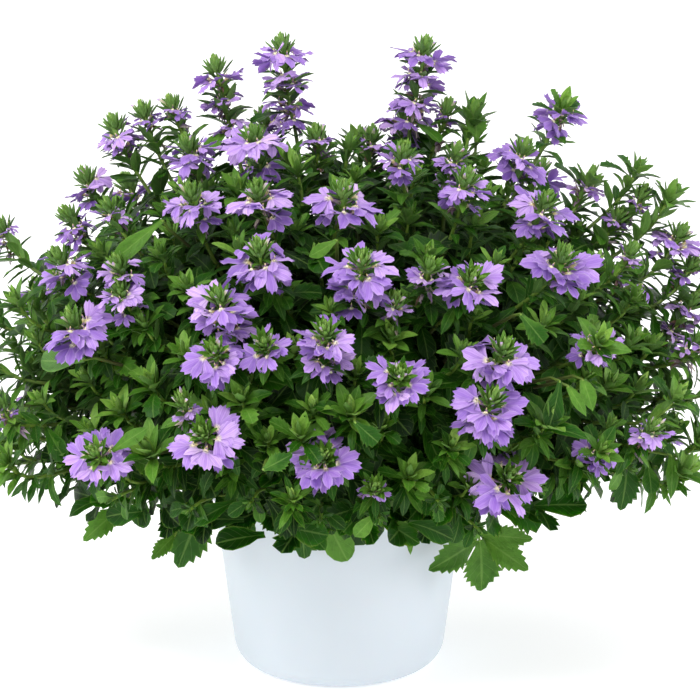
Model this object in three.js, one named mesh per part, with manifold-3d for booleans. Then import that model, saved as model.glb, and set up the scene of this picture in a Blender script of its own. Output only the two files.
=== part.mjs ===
// Potted fan flower: a bushy plant with rings of half-round violet flowers, in a plain tapered pot.
// Millimetres, +Z up, front towards -Y. The origin is the middle of the pot's underside.

import * as THREE from "three";
import { mergeVertices } from "three/addons/utils/BufferGeometryUtils.js";
import Module from "manifold-3d";

const wasm = await Module();
wasm.setup();
const { Manifold } = wasm;

// Pot: a straight tapered wall on a rounded lower corner, with a small lip
const POT_HEIGHT = 113;
const POT_FOOT_RADIUS = 63.4;
const POT_FLARE = 0.129;
const POT_CORNER = 16;
const POT_WALL = 2.4;
const POT_LIP = 1.6;
const POT_LIP_HEIGHT = 5;
const POT_LIP_SLOPE = 1;
const POT_RIM_EDGE = 0.8;
const POT_SIDES = 24;
const CORNER_STEPS = 2;

// Soil: fills the pot to a little below the lip, with a low mound in the middle
const SOIL_TOP = 101;
const SOIL_MOUND = 4;
const MOUND_SHARE = 0.62;
const GAP = 0.35;

// Branches: each has a main stem that stands in a hole of the soil, and its sector of the bush's dense core
const BRANCHES = 6;
const FIRST_BEARING = -90;
const STEM_CIRCLE = 30;
const STEM_DEPTH = 24;
const FORK_CIRCLE = 46;
const FORK_HEIGHT = 34;
const STEM_RADIUS = 2.6;
const STEM_TAPER = 0.8;
const STEM_SIDES = 5;
const HOLE_SIDES = 6;
const HOLE_GAP = 0.7;

// The core: a smaller dome inside the bush, flat below, with an uneven surface that the shoots stand out of
const CORE_DEPTH = 0.68;
const CORE_FLOOR = 126;
const CORE_ROWS = [-21.5, -4, 14, 32, 50, 68];
const CORE_COLUMNS = 4;
const CORE_JITTER = 0.06;
const CORE_GAP = 0.4;

// Each cell of the core's grid rises to the pointed, drooping end of a leaf
const CORE_POINT_RISE = 0.15;
const CORE_POINT_VARY = 0.6;
const CORE_POINT_DROOP = 9;
const CORE_POINT_SWING = 14;

// Shoots: thin curved stems from the core to the tips
const SHOOT_RADIUS = 1.25;
const SHOOT_SIDES = 3;
const TIP_STRAIGHT = 9;
const LEVEL_DROP = 15;
const TIP_ABOVE_RING = 3;
const LONG_SHOOT = 60;
const SUNK_DEPTH = 0.6;
const CROWN_POINT = new THREE.Vector3(0, 0, 110);

// Where a shoot may start on the core: degrees below its tip and to its side, the first choice first
const STARTS = [
  [8, 0],
  [14, 5],
  [14, -5],
  [0, 0],
  [20, 0],
  [6, 9],
  [6, -9],
  [26, 8],
  [26, -8],
  [-8, 0],
];
const WALL_MARGIN = 5;
const LOWEST_START = THREE.MathUtils.degToRad(-34);
const SWAYS = [0, 0.12, -0.12, 0.24, -0.24];

// How far tips lean out, in radians: on top of the plant, and more for each radian down its side
const TOP_LEAN = 0.12;
const SIDE_LEAN = 0.42;
const FACING_LEAN = 0.45;
const HANGING_DROP = 0.25;

// Handles of a shoot's curve, as shares of its span
const START_HANDLE = 0.12;
const WAY_HANDLE = 0.2;
const TIP_HANDLE = 0.28;

// The dome that the flower heads lie on
const DOME_MIDDLE = new THREE.Vector3(0, 0, 170);
const DOME_SIZE = new THREE.Vector3(225, 190, 170);

// The place the plant is laid out from: the front, a little above
const VIEW_DISTANCE = 2361;
const VIEW_RISE = THREE.MathUtils.degToRad(15.93);
const VIEW_AIM = new THREE.Vector3(6.6, 0, 199);

// Flower heads seen from the front: mm right of the aim, mm above it, reach of the petals, depth in the dome.
// The smallest grow on their shoot in one body, and so do the levels below the top of a tall head. Their fans
// and those of the next smallest heads have fewer petals.
const OWN_BODY_REACH = 14;
const TALL_SPIKES = [
  [-81, 169, 18, 1],
  [-41, 182, 20, 1],
  [45, 181, 22, 1],
];
const UPRIGHT_HEADS = [
  [-143, 134, 16, 1],
  [-125, 142, 12, 0.9],
  [-108, 146, 12, 0.85],
  [-98, 121, 20, 1],
  [-58, 127, 23, 1],
  [-20, 128, 12, 0.95],
  [13, 127, 12, 0.9],
  [32, 117, 16, 1],
  [64, 117, 13, 0.95],
  [70, 101, 18, 1.02],
  [59, 144, 9, 0.9],
  [105, 119, 21, 1],
  [144, 100, 13, 1],
  [118, 87, 22, 1],
  [163, 79, 10, 0.95],
  [177, 92, 9, 1],
  [200, 68, 20, 1],
  [-160, 102, 17, 1],
  [-170, 79, 15, 1],
  [-146, 84, 12, 1.03],
  [-96, 92, 21, 1],
  [-56, 93, 23, 1],
  [-4, 93, 24, 1],
  [-211, 72, 12, 1],
  [-176, 53, 21, 1],
  [-140, 49, 16, 1],
  [-139, 34, 16, 0.97],
  [-168, 15, 24, 1],
  [-55, 58, 23, 1],
  [48, 48, 13, 0.97],
  [129, 54, 25, 1.02],
  [170, 57, 10, 1],
  [207, 49, 12, 0.95],
  [212, 3, 12, 1],
  [27, 27, 12, 0.9],
  [93, -2, 24, 1],
  [-101, -34, 10, 0.95],
  [183, -50, 14, 1],
  [-212, -37, 9, 1],
  [-231, 31, 16, 1],
  [-237, -21, 14, 1],
  [231, 54, 16, 1],
  [237, -13, 16, 1],
];
const DOUBLE_HEADS = [
  [-79, 29, 22, 1],
  [7, 51, 24, 1.02],
  [207, 26, 17, 1],
  [-15, 9, 19, 1],
  [86, -32, 23, 1],
];
const FACING_HEADS = [
  [129, 146, 19, 1],
  [74, 42, 21, 1],
  [151, 3, 17, 1],
  [-82, -2, 20, 1],
  [-52, 2, 18, 0.98],
  [30, -17, 20, 1],
  [-89, -52, 25, 0.97],
  [-154, -64, 23, 1],
  [-16, -66, 23, 0.9],
  [15, -85, 10, 0.85],
  [96, -78, 25, 0.88],
  [152, -62, 16, 0.95],
];

// Flower heads of the back, in rows: rise on the dome in degrees, number, first and last bearing, reach
const BACK_ROWS = [
  [-12, 6, 22, 158, 20],
  [16, 6, 28, 152, 22],
  [42, 4, 38, 142, 21],
  [66, 2, 60, 120, 20],
];
const BACK_SHIFT = 8;
const BACK_OWN_EVERY = 3;

// Leafy tips without flowers: mm right of the aim, mm above it, depth in the dome
const LEAFY_TIPS = [
  [175, 110, 1],
  [195, 93, 1],
  [75, 142, 0.95],
  [-210, -68, 1],
  [-204, 30, 1],
  [-223, 0, 1],
  [-232, -55, 1],
  [199, -29, 1],
  [214, -55, 1],
  [238, 12, 1],
  [204, -73, 1],
  [-66, -30, 0.92],
  [-30, -52, 0.9],
  [62, -58, 0.9],
  [120, -44, 0.94],
  [-122, -62, 0.92],
  [0, -38, 0.9],
];
const HANGING_TIPS = [
  [79, -110, 0.84],
  [-99, -99, 0.86],
  [-146, -92, 0.9],
  [172, -73, 0.92],
  [-18, -104, 0.84],
  [55, -94, 0.87],
  [116, -84, 0.88],
  [-61, -94, 0.85],
  [18, -103, 0.85],
];
const BACK_HANGING_ROW = [-22, 5, 32, 148, 0.86];

// Flower fans
const HUB_HALF = 1.3;
const LARGE_HEAD = 19;
const FOUR_FAN_REACH = 23;
const LOWER_LEVEL_SHARE = 0.85;
const THROAT_SHARE = 0.36;
const THROAT_HALF = 0.55;
const PETALS = 5;
const SMALL_HEAD = 17;
const FEWER_PETALS = 3;
const NOTCH_SHARE = 0.5;
const FAN_SPREAD = 1.3;
const SPREAD_SHARE = 1.42;
const FAN_LIFT = 3;
const FAN_SWING = 22;
const FAN_DROOP = 0.6;
const PETAL_WAVE = 0.12;
const PETAL_VARY = 0.12;
const EDGE_SHARE = 1.15;
const EDGE_MARGIN = 1;
const TWISTS = [0, 0.04, 0.08, 0.12, 0.16, 0.2];
// Each fan takes the first of these that is clear: tilt in degrees, share of the petal length
const FAN_BENDS = [
  [0, 1],
  [20, 1],
  [-20, 1],
  [38, 0.92],
  [-38, 0.92],
  [58, 0.8],
  [-58, 0.7],
  [0, 0.6],
  [60, 0.5],
  [-70, 0.5],
  [0, 0.35],
];

// Tufts of green bracts
const TUFT_TIPS = 3;
const TUFT_REACH = 4.4;
const TUFT_RISE = 11;
const TUFT_NOTCH = 0.42;
const TUFT_HEART = 3.5;
const TUFT_TURN = 0.3;
const TUFT_VARY = 0.3;
const TUFT_ROOT = 2;
const TUFT_REACH_SHARE = 0.012;
const TUFT_BASE_SHARE = 0.8;
const ROSETTE_REACH = 9.5;
const ROSETTE_RISE = 12.5;

// Leaves: outlines of one half as shares of the length and of the width
const NARROW_HALF = [[0.5, 0.5]];
const MIDDLE_HALF = [
  [0.36, 0.16],
  [0.66, 0.5],
  [0.72, 0.36],
];
const TOOTHED_HALF = [
  [0.34, 0.14],
  [0.6, 0.48],
  [0.67, 0.36],
  [0.84, 0.38],
];
const LEAF_THICKNESS = 1.1;
const LEAF_FREE = 2.6;
const LEAF_FOOT = 0.2;
const LEAF_ROOM_ROOT = 0.9;
const LEAF_SAG = 0.2;
const LEAF_VARY = 0.3;
const LEAF_WEIGHT = 0.15;
const HANGING_WEIGHT = 0.6;
const NARROW_RIDGE = 0.45;
const BROAD_RIDGE = 0.62;

// Leaves: outline, length, width as a share of the length, rise from the stem and how much it varies
const NARROW_LEAF = { half: NARROW_HALF, long: 21, slim: 0.32, climb: 0.5, stray: 0.5 };
const MIDDLE_LEAF = { half: MIDDLE_HALF, long: 32, slim: 0.5, climb: 0.1, stray: 1.6 };
const TOOTHED_LEAF = { half: TOOTHED_HALF, long: 34, slim: 0.62, climb: 0.1, stray: 0.6 };

// Whorls of leaves: their distance below the tip, or above the start, and the leaves round the stem
const WHORL_HALF = 0.9;
const WHORL_LOWEST = 11;
const WHORL_SPACING = 9;
const WHORLS = {
  head: [
    { below: 13, leaves: [NARROW_LEAF, NARROW_LEAF] },
    { above: 20, leaves: [MIDDLE_LEAF] },
  ],
  smallHead: [{ below: 13, leaves: [NARROW_LEAF, MIDDLE_LEAF] }],
  leafy: [
    { below: 5, leaves: [NARROW_LEAF, NARROW_LEAF, NARROW_LEAF] },
    { above: 13, leaves: [MIDDLE_LEAF, MIDDLE_LEAF] },
  ],
  hanging: [
    { below: 4, leaves: [TOOTHED_LEAF, TOOTHED_LEAF] },
    { below: 16, leaves: [TOOTHED_LEAF, TOOTHED_LEAF] },
  ],
};
// Each leaf takes the first of these that is clear: turn round the stem, lift
const LEAF_BENDS = [
  [0, 0],
  [0.4, 0],
  [-0.4, 0],
  [0, 0.45],
  [0, -0.45],
  [0.7, 0.3],
  [-0.7, 0.3],
];
const ROOM = 0.4;
const COLLAR = 0.3;
const HEART_DEPTH = 7;
const CORE_SHARE = 0.4;

const UP = new THREE.Vector3(0, 0, 1);
const TOWARDS_VIEWER = new THREE.Vector3(0, -1, 0);

// A repeatable number from 0 to 1 for one item of one shoot
function draw(shoot, item, kind) {
  const wave = Math.sin(shoot * 12.9898 + item * 78.233 + kind * 37.719) * 43758.5453;
  return wave - Math.floor(wave);
}

function mix(...terms) {
  const sum = new THREE.Vector3();
  for (let i = 0; i < terms.length; i += 2) {
    sum.addScaledVector(terms[i], terms[i + 1]);
  }
  return sum;
}

// Solids from plain triangles, and back to geometry

function solidFrom(points, faces) {
  return new Manifold(new wasm.Mesh({
    numProp: 3,
    vertProperties: new Float32Array(points.flatMap((point) => point.toArray())),
    triVerts: new Uint32Array(faces.flat()),
  }));
}

function solidOf(geometry) {
  const bare = geometry.index ? geometry.clone() : geometry;
  bare.deleteAttribute("normal");
  bare.deleteAttribute("uv");
  const merged = mergeVertices(bare, 1e-4);
  return new Manifold(new wasm.Mesh({
    numProp: 3,
    vertProperties: new Float32Array(merged.attributes.position.array),
    triVerts: new Uint32Array(merged.index.array),
  }));
}

function geometryOf(solid) {
  const mesh = solid.getMesh();
  const geometry = new THREE.BufferGeometry();
  geometry.setAttribute("position", new THREE.BufferAttribute(new Float32Array(mesh.vertProperties), 3));
  geometry.setIndex(new THREE.BufferAttribute(new Uint32Array(mesh.triVerts), 1));
  return geometry;
}

// Pot and soil as turned profiles

function wallRadius(height) {
  return POT_FOOT_RADIUS + POT_FLARE * height;
}

// The rounded foot: an arc from the flat underside to the tapered wall, moved in by the wall's thickness
function footArc(inset) {
  const slope = Math.atan(POT_FLARE);
  const middle = POT_FOOT_RADIUS + POT_CORNER * (Math.tan(slope) - 1 / Math.cos(slope));
  const arc = [];
  for (let step = 0; step <= CORNER_STEPS; step += 1) {
    const angle = -Math.PI / 2 + (step / CORNER_STEPS) * (Math.PI / 2 - slope);
    const radius = POT_CORNER - inset;
    arc.push(new THREE.Vector2(middle + radius * Math.cos(angle), POT_CORNER + radius * Math.sin(angle)));
  }
  return arc;
}

function turned(profile) {
  return new THREE.LatheGeometry(profile, POT_SIDES).rotateX(Math.PI / 2);
}

function potGeometry(grow) {
  const lipFoot = POT_HEIGHT - POT_LIP_HEIGHT;
  const outer = footArc(-grow);
  const inner = footArc(POT_WALL + grow).reverse();
  return turned([
    new THREE.Vector2(0, -grow),
    ...outer,
    new THREE.Vector2(wallRadius(lipFoot - POT_LIP_SLOPE) + grow, lipFoot - POT_LIP_SLOPE),
    new THREE.Vector2(wallRadius(lipFoot) + POT_LIP + grow, lipFoot),
    new THREE.Vector2(wallRadius(POT_HEIGHT) + POT_LIP + grow, POT_HEIGHT - POT_RIM_EDGE),
    new THREE.Vector2(wallRadius(POT_HEIGHT) + grow, POT_HEIGHT + grow),
    new THREE.Vector2(wallRadius(POT_HEIGHT) - POT_WALL - grow, POT_HEIGHT + grow),
    ...inner,
    new THREE.Vector2(0, POT_WALL + grow),
  ]);
}

function soilGeometry(grow) {
  const inner = footArc(POT_WALL + GAP);
  return turned([
    new THREE.Vector2(0, POT_WALL + GAP),
    ...inner,
    new THREE.Vector2(wallRadius(SOIL_TOP) - POT_WALL - GAP, SOIL_TOP + grow),
    new THREE.Vector2(wallRadius(SOIL_TOP) * MOUND_SHARE, SOIL_TOP + SOIL_MOUND + grow),
    new THREE.Vector2(0, SOIL_TOP + SOIL_MOUND + grow),
  ]);
}

// A round bar along a list of points, thinning from one radius to the other
function bar(points, startRadius, endRadius, sides, across) {
  const vertices = [];
  const faces = [];
  points.forEach((point, row) => {
    const before = points[Math.max(row - 1, 0)];
    const after = points[Math.min(row + 1, points.length - 1)];
    const along = after.clone().sub(before).normalize();
    const first = across.clone().addScaledVector(along, -across.dot(along)).normalize();
    const second = along.clone().cross(first);
    const radius = THREE.MathUtils.lerp(startRadius, endRadius, row / (points.length - 1));
    for (let side = 0; side < sides; side += 1) {
      const angle = ((side + 0.5) / sides) * 2 * Math.PI;
      vertices.push(mix(point, 1, first, radius * Math.cos(angle), second, radius * Math.sin(angle)));
    }
  });
  for (let row = 0; row + 1 < points.length; row += 1) {
    for (let side = 0; side < sides; side += 1) {
      const next = (side + 1) % sides;
      const low = row * sides;
      const high = low + sides;
      faces.push([low + side, low + next, high + next], [low + side, high + next, high + side]);
    }
  }
  const last = (points.length - 1) * sides;
  for (let side = 1; side + 1 < sides; side += 1) {
    faces.push([0, side + 1, side], [last, last + side, last + side + 1]);
  }
  return solidFrom(vertices, faces);
}

// Where a head or tip lies: the line of sight meets the dome, or passes it as close as it can
function placeOnDome(side, height, depth) {
  const rise = new THREE.Vector3(0, Math.sin(VIEW_RISE), Math.cos(VIEW_RISE));
  const eye = VIEW_AIM.clone().add(new THREE.Vector3(0, -Math.cos(VIEW_RISE), Math.sin(VIEW_RISE))
    .multiplyScalar(VIEW_DISTANCE));
  const seen = mix(VIEW_AIM, 1, new THREE.Vector3(1, 0, 0), side, rise, height);
  const sight = seen.sub(eye).normalize();
  const size = DOME_SIZE.clone().multiplyScalar(depth);
  const start = eye.clone().sub(DOME_MIDDLE).divide(size);
  const step = sight.clone().divide(size);
  const square = step.dot(step);
  const cross = start.dot(step);
  const rest = start.dot(start) - 1;
  const root = Math.sqrt(Math.max(cross * cross - square * rest, 0));
  return eye.addScaledVector(sight, (-cross - root) / square);
}

function placeAtBearing(rise, bearing) {
  const tilt = THREE.MathUtils.degToRad(rise);
  const turn = THREE.MathUtils.degToRad(bearing);
  return new THREE.Vector3(
    DOME_SIZE.x * Math.cos(tilt) * Math.cos(turn),
    DOME_SIZE.y * Math.cos(tilt) * Math.sin(turn),
    DOME_MIDDLE.z + DOME_SIZE.z * Math.sin(tilt),
  );
}

// The direction a tip points: nearly upright on top of the plant, leaning out at its sides
function tipAxis(place, facing, hanging) {
  const out = new THREE.Vector3(place.x, place.y, 0).normalize();
  const reach = Math.hypot(place.x, place.y);
  const rise = Math.atan2(Math.max(place.z - CROWN_POINT.z, 0), reach);
  const lean = TOP_LEAN + SIDE_LEAN * (Math.PI / 2 - rise);
  const axis = mix(UP, Math.cos(lean), out, Math.sin(lean), TOWARDS_VIEWER, facing ? FACING_LEAN : 0);
  if (hanging) {
    return mix(out, 1, UP, -HANGING_DROP).normalize();
  }
  return axis.normalize();
}

// All the shoots: what each carries and where its tip is
function layOutShoots() {
  const shoots = [];
  const add = (place, reach, levels, facing, kind, ownBody) => {
    const axis = tipAxis(place, facing, kind === "hanging");
    const tip = mix(place, 1, axis, kind === "head" ? TIP_ABOVE_RING : 0);
    shoots.push({ place, reach, levels, kind, ownBody, axis, tip, index: shoots.length });
  };
  const addHeads = (heads, levels, facing) => heads.forEach(([side, height, reach, depth]) => {
    add(placeOnDome(side, height, depth), reach, levels, facing, "head", reach >= OWN_BODY_REACH);
  });
  addHeads(TALL_SPIKES, 3, false);
  addHeads(UPRIGHT_HEADS, 1, false);
  addHeads(DOUBLE_HEADS, 2, false);
  addHeads(FACING_HEADS, 1, true);
  BACK_ROWS.forEach(([rise, count, first, last, reach]) => {
    for (let item = 0; item < count; item += 1) {
      const bearing = THREE.MathUtils.lerp(first, last, item / (count - 1));
      const shift = BACK_SHIFT * (draw(shoots.length, 0, 1) - 0.5);
      const isOwn = item % BACK_OWN_EVERY === 1;
      add(placeAtBearing(rise + shift, bearing + shift), reach, 1, false, "head", isOwn);
    }
  });
  LEAFY_TIPS.forEach(([side, height, depth]) => {
    add(placeOnDome(side, height, depth), 0, 0, false, "leafy", false);
  });
  HANGING_TIPS.forEach(([side, height, depth]) => {
    add(placeOnDome(side, height, depth), 0, 0, false, "hanging", false);
  });
  const [rise, count, first, last, nearness] = BACK_HANGING_ROW;
  for (let item = 0; item < count; item += 1) {
    const bearing = THREE.MathUtils.lerp(first, last, item / (count - 1));
    const place = placeAtBearing(rise, bearing).multiply(new THREE.Vector3(nearness, nearness, 1));
    add(place, 0, 0, false, "hanging", false);
  }
  return shoots;
}

// The main stems: root in the soil, top inside the core, and the bearing of their sector
function layOutStems() {
  const stems = [];
  for (let stem = 0; stem < BRANCHES; stem += 1) {
    const bearing = THREE.MathUtils.degToRad(FIRST_BEARING) + (stem / BRANCHES) * 2 * Math.PI;
    const out = new THREE.Vector3(Math.cos(bearing), Math.sin(bearing), 0);
    stems.push({
      bearing,
      out,
      root: mix(out, STEM_CIRCLE, UP, SOIL_TOP - STEM_DEPTH),
      fork: mix(out, FORK_CIRCLE, UP, SOIL_TOP + FORK_HEIGHT),
    });
  }
  return stems;
}

// The dome's half width in one direction seen from above
function domeRadius(bearing) {
  return 1 / Math.hypot(Math.cos(bearing) / DOME_SIZE.x, Math.sin(bearing) / DOME_SIZE.y);
}

// A point of the core: rise and bearing in radians, and its share of the core's own surface
function corePoint(rise, bearing, share) {
  const floor = (DOME_MIDDLE.z - CORE_FLOOR) / DOME_SIZE.z;
  const depth = share * (rise < 0 ? Math.min(CORE_DEPTH, floor / Math.sin(-rise)) : CORE_DEPTH);
  const radius = domeRadius(bearing) * Math.cos(rise) * depth;
  return new THREE.Vector3(
    radius * Math.cos(bearing),
    radius * Math.sin(bearing),
    DOME_MIDDLE.z + DOME_SIZE.z * Math.sin(rise) * depth,
  );
}

// The core's sector of one branch: an uneven grid outside, a flat floor and two flat walls to the axis
function coreSolid(stems, branch, grow) {
  const stem = stems[branch];
  const half = Math.PI / BRANCHES;
  const shift = (CORE_GAP / 2 - grow) / Math.sin(half);
  const points = [];
  const faces = [];
  const keep = (point) => points.push(mix(point, 1, stem.out, shift)) - 1;
  const uneven = (row, column, share) => 1 + share * (draw(branch, row * 10 + column, 11) - 0.5);
  const surface = (row, column, share) => {
    const turn = (column / CORE_COLUMNS - 0.5) * 2 * half;
    const point = corePoint(THREE.MathUtils.degToRad(CORE_ROWS[row]), stem.bearing + turn, share);
    const out = point.clone().sub(DOME_MIDDLE).normalize();
    return keep(row === 0 ? mix(point, 1, stem.out, grow, UP, -grow) : mix(point, 1, out, grow));
  };
  const floor = keep(new THREE.Vector3(0, 0, CORE_FLOOR - grow));
  const middle = keep(DOME_MIDDLE);
  const top = keep(new THREE.Vector3(0, 0, DOME_MIDDLE.z + CORE_DEPTH * DOME_SIZE.z + grow));
  const grid = CORE_ROWS.map((unused, row) => {
    const line = [];
    for (let column = 0; column <= CORE_COLUMNS; column += 1) {
      line.push(surface(row, column, row === 0 ? 1 : uneven(row, column, CORE_JITTER)));
    }
    return line;
  });
  for (let row = 0; row + 1 < grid.length; row += 1) {
    for (let column = 0; column < CORE_COLUMNS; column += 1) {
      const corners = [
        grid[row][column], grid[row][column + 1], grid[row + 1][column + 1], grid[row + 1][column],
      ];
      const item = row * 10 + column;
      const cell = corners.reduce((sum, corner) => sum.add(points[corner]), new THREE.Vector3());
      cell.divideScalar(corners.length).sub(DOME_MIDDLE);
      const rise = 1 + CORE_POINT_RISE * (1 - CORE_POINT_VARY * draw(branch, item, 12));
      const aside = stem.out.clone().cross(UP);
      const swing = CORE_POINT_SWING * (draw(branch, item, 13) - 0.5);
      const leafPoint = points.push(mix(DOME_MIDDLE, 1, cell, rise, UP, -CORE_POINT_DROOP, aside, swing)) - 1;
      corners.forEach((corner, index) => {
        faces.push([leafPoint, corner, corners[(index + 1) % corners.length]]);
      });
    }
  }
  const last = grid.length - 1;
  for (let column = 0; column < CORE_COLUMNS; column += 1) {
    faces.push([floor, grid[0][column + 1], grid[0][column]]);
    faces.push([top, grid[last][column], grid[last][column + 1]]);
  }
  [0, CORE_COLUMNS].forEach((column) => {
    const edge = [floor, ...grid.map((line) => line[column]), top];
    for (let i = 0; i + 1 < edge.length; i += 1) {
      faces.push(column === 0 ? [middle, edge[i], edge[i + 1]] : [middle, edge[i + 1], edge[i]]);
    }
  });
  return solidFrom(points, faces);
}

// The curved line of one shoot, from its start to the straight end below its tip
function shootLine(shoot, start, sway) {
  const straight = TIP_STRAIGHT + LEVEL_DROP * Math.max(shoot.levels - 1, 0);
  const bend = mix(shoot.tip, 1, shoot.axis, -straight);
  const span = start.point.distanceTo(bend);
  const way = bend.clone().sub(start.point).normalize();
  const sideways = way.clone().cross(UP).normalize();
  const curve = new THREE.CubicBezierCurve3(
    start.point,
    mix(start.point, 1, start.along, span * START_HANDLE, way, span * WAY_HANDLE, sideways, sway * span),
    mix(bend, 1, shoot.axis, -span * TIP_HANDLE, sideways, sway * span),
    bend,
  );
  return { curve, span, straight, sideways, length: span + straight };
}

// A point of a shoot's line, by its distance below the tip
function pointBelow(shoot, line, below) {
  if (below <= line.straight) {
    return { point: mix(shoot.tip, 1, shoot.axis, -below), along: shoot.axis };
  }
  const share = Math.max(1 - (below - line.straight) / line.span, 0);
  return { point: line.curve.getPoint(share), along: line.curve.getTangent(share) };
}

// The rings of a shoot, from its sunk end to its tip: bends, and a short pair of rings for each whorl
function shootStations(shoot, line) {
  const whorls = [];
  const levels = Math.max(shoot.levels, 1);
  const kind = shoot.kind === "head" && shoot.reach < LARGE_HEAD ? "smallHead" : shoot.kind;
  WHORLS[kind].forEach((whorl) => {
    const below = whorl.above ? line.length - whorl.above : whorl.below + (levels - 1) * LEVEL_DROP;
    whorls.push({ ...whorl, below });
  });
  for (let level = 0; level < shoot.levels; level += 1) {
    if (level > 0 || !shoot.ownBody) {
      whorls.push({ below: TIP_ABOVE_RING + level * LEVEL_DROP, level });
    }
  }
  whorls.sort((one, other) => one.below - other.below);
  const fitting = whorls.filter(({ below }, index) => (
    below < line.length - WHORL_LOWEST && (index === 0 || below > whorls[index - 1].below + WHORL_SPACING)
  )).reverse();
  const lowest = fitting.length > 0 ? fitting[0].below : 0;
  const free = line.length - lowest;
  const bends = Math.min(Math.round(free / LONG_SHOOT), 2);
  const stations = [{ below: line.length }];
  for (let bend = 1; bend <= bends; bend += 1) {
    stations.push({ below: line.length - (free * bend) / (bends + 1) });
  }
  fitting.forEach((whorl) => {
    stations.push({ below: whorl.below + WHORL_HALF });
    stations.push({ below: whorl.below - WHORL_HALF, whorl });
  });
  if (shoot.ownBody || shoot.kind !== "head") {
    stations.push({ below: 0 });
  }
  return stations;
}

// One fan: the loop of points round its five petals, and its throat above and below
function fanBlade(shoot, level, fan, count, middle, bend, grow) {
  const [tilt, share] = FAN_BENDS[bend];
  const item = level * 10 + fan;
  const reach = shoot.reach * (level === 0 ? 1 : LOWER_LEVEL_SHARE);
  const around = (angle) => mix(shoot.first, Math.cos(angle), shoot.second, Math.sin(angle));
  const centre = mix(shoot.place, 1, shoot.axis, -level * LEVEL_DROP);
  const lift = FAN_LIFT * (draw(shoot.index, item, 3) - 0.5);
  const droop = THREE.MathUtils.degToRad(tilt + FAN_SWING * (draw(shoot.index, item, 4) - FAN_DROOP));
  const throatRadius = reach * THROAT_SHARE;
  const throat = mix(centre, 1, around(middle), throatRadius, shoot.axis, lift);
  const isFull = shoot.ownBody && level === 0 && shoot.reach >= SMALL_HEAD;
  const petals = isFull ? PETALS : FEWER_PETALS;
  const spread = Math.min((Math.PI / count) * SPREAD_SHARE, FAN_SPREAD);
  const length = (reach - throatRadius) * share + grow;
  const loop = [];
  for (let petal = 0; petal < petals; petal += 1) {
    const turn = (petal / (petals - 1) - 0.5) * 2 * spread;
    const wave = PETAL_WAVE * (draw(shoot.index, item * 10 + petal, 5) - 0.5);
    const size = length * (1 + PETAL_VARY * (draw(shoot.index, item * 10 + petal, 6) - 0.5));
    const slope = droop + wave;
    const way = mix(around(middle + turn), Math.cos(slope), shoot.axis, Math.sin(slope));
    if (petal > 0) {
      const between = turn - spread / (petals - 1);
      const notch = mix(around(middle + between), Math.cos(droop), shoot.axis, Math.sin(droop));
      loop.push(mix(throat, 1, notch, length * NOTCH_SHARE));
    }
    loop.push(mix(throat, 1, way, size));
  }
  return {
    centre, around, throatRadius, loop,
    top: mix(throat, 1, shoot.axis, THROAT_HALF + grow),
    bottom: mix(throat, 1, shoot.axis, -THROAT_HALF - grow),
  };
}

// The number of fans in the free ring of a head, and the bearing of each
function fanCount(shoot) {
  return shoot.reach < FOUR_FAN_REACH ? 3 : 4;
}

function fanMiddle(shoot, fan, twist) {
  return (draw(shoot.index, 0, 2) + twist + fan / fanCount(shoot)) * 2 * Math.PI;
}

// The fans of a free ring with the hub between them: the whole ring, or one fan closed at its sides
function ringSolid(shoot, fans, bends, twist, grow) {
  const count = fanCount(shoot);
  const half = Math.PI / count;
  const hubRadius = (SHOOT_RADIUS + GAP) / Math.cos(half);
  const points = [];
  const faces = [];
  const keep = (point) => points.push(point) - 1;
  const blades = fans.map((fan) => (
    fanBlade(shoot, 0, fan, count, fanMiddle(shoot, fan, twist), bends[fan], grow)
  ));
  const side = (blade, angle) => ({
    edge: keep(mix(blade.centre, 1, blade.around(angle), blade.throatRadius * EDGE_SHARE + EDGE_MARGIN)),
    hubTop: keep(mix(blade.centre, 1, blade.around(angle), hubRadius, shoot.axis, HUB_HALF + grow)),
    hubBottom: keep(mix(blade.centre, 1, blade.around(angle), hubRadius, shoot.axis, -HUB_HALF - grow)),
  });
  const closed = fans.length === count;
  const sides = fans.map((fan, index) => side(blades[index], fanMiddle(shoot, fan, twist) - half));
  if (!closed) {
    sides.push(side(blades[0], fanMiddle(shoot, fans[0], twist) + half));
  }
  blades.forEach((blade, index) => {
    const before = sides[index];
    const after = sides[(index + 1) % sides.length];
    const top = keep(blade.top);
    const bottom = keep(blade.bottom);
    const rim = [before.edge, ...blade.loop.map(keep), after.edge];
    for (let i = 0; i + 1 < rim.length; i += 1) {
      faces.push([top, rim[i], rim[i + 1]], [bottom, rim[i + 1], rim[i]]);
    }
    faces.push([top, before.hubTop, before.edge], [top, after.edge, after.hubTop]);
    faces.push([top, after.hubTop, before.hubTop], [bottom, before.hubBottom, after.hubBottom]);
    faces.push([bottom, before.edge, before.hubBottom], [bottom, after.hubBottom, after.edge]);
    faces.push([before.hubTop, after.hubTop, after.hubBottom]);
    faces.push([before.hubTop, after.hubBottom, before.hubBottom]);
  });
  if (!closed) {
    const [before, after] = sides;
    faces.push([before.hubTop, before.hubBottom, before.edge], [after.hubTop, after.edge, after.hubBottom]);
  }
  return solidFrom(points, faces);
}

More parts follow.
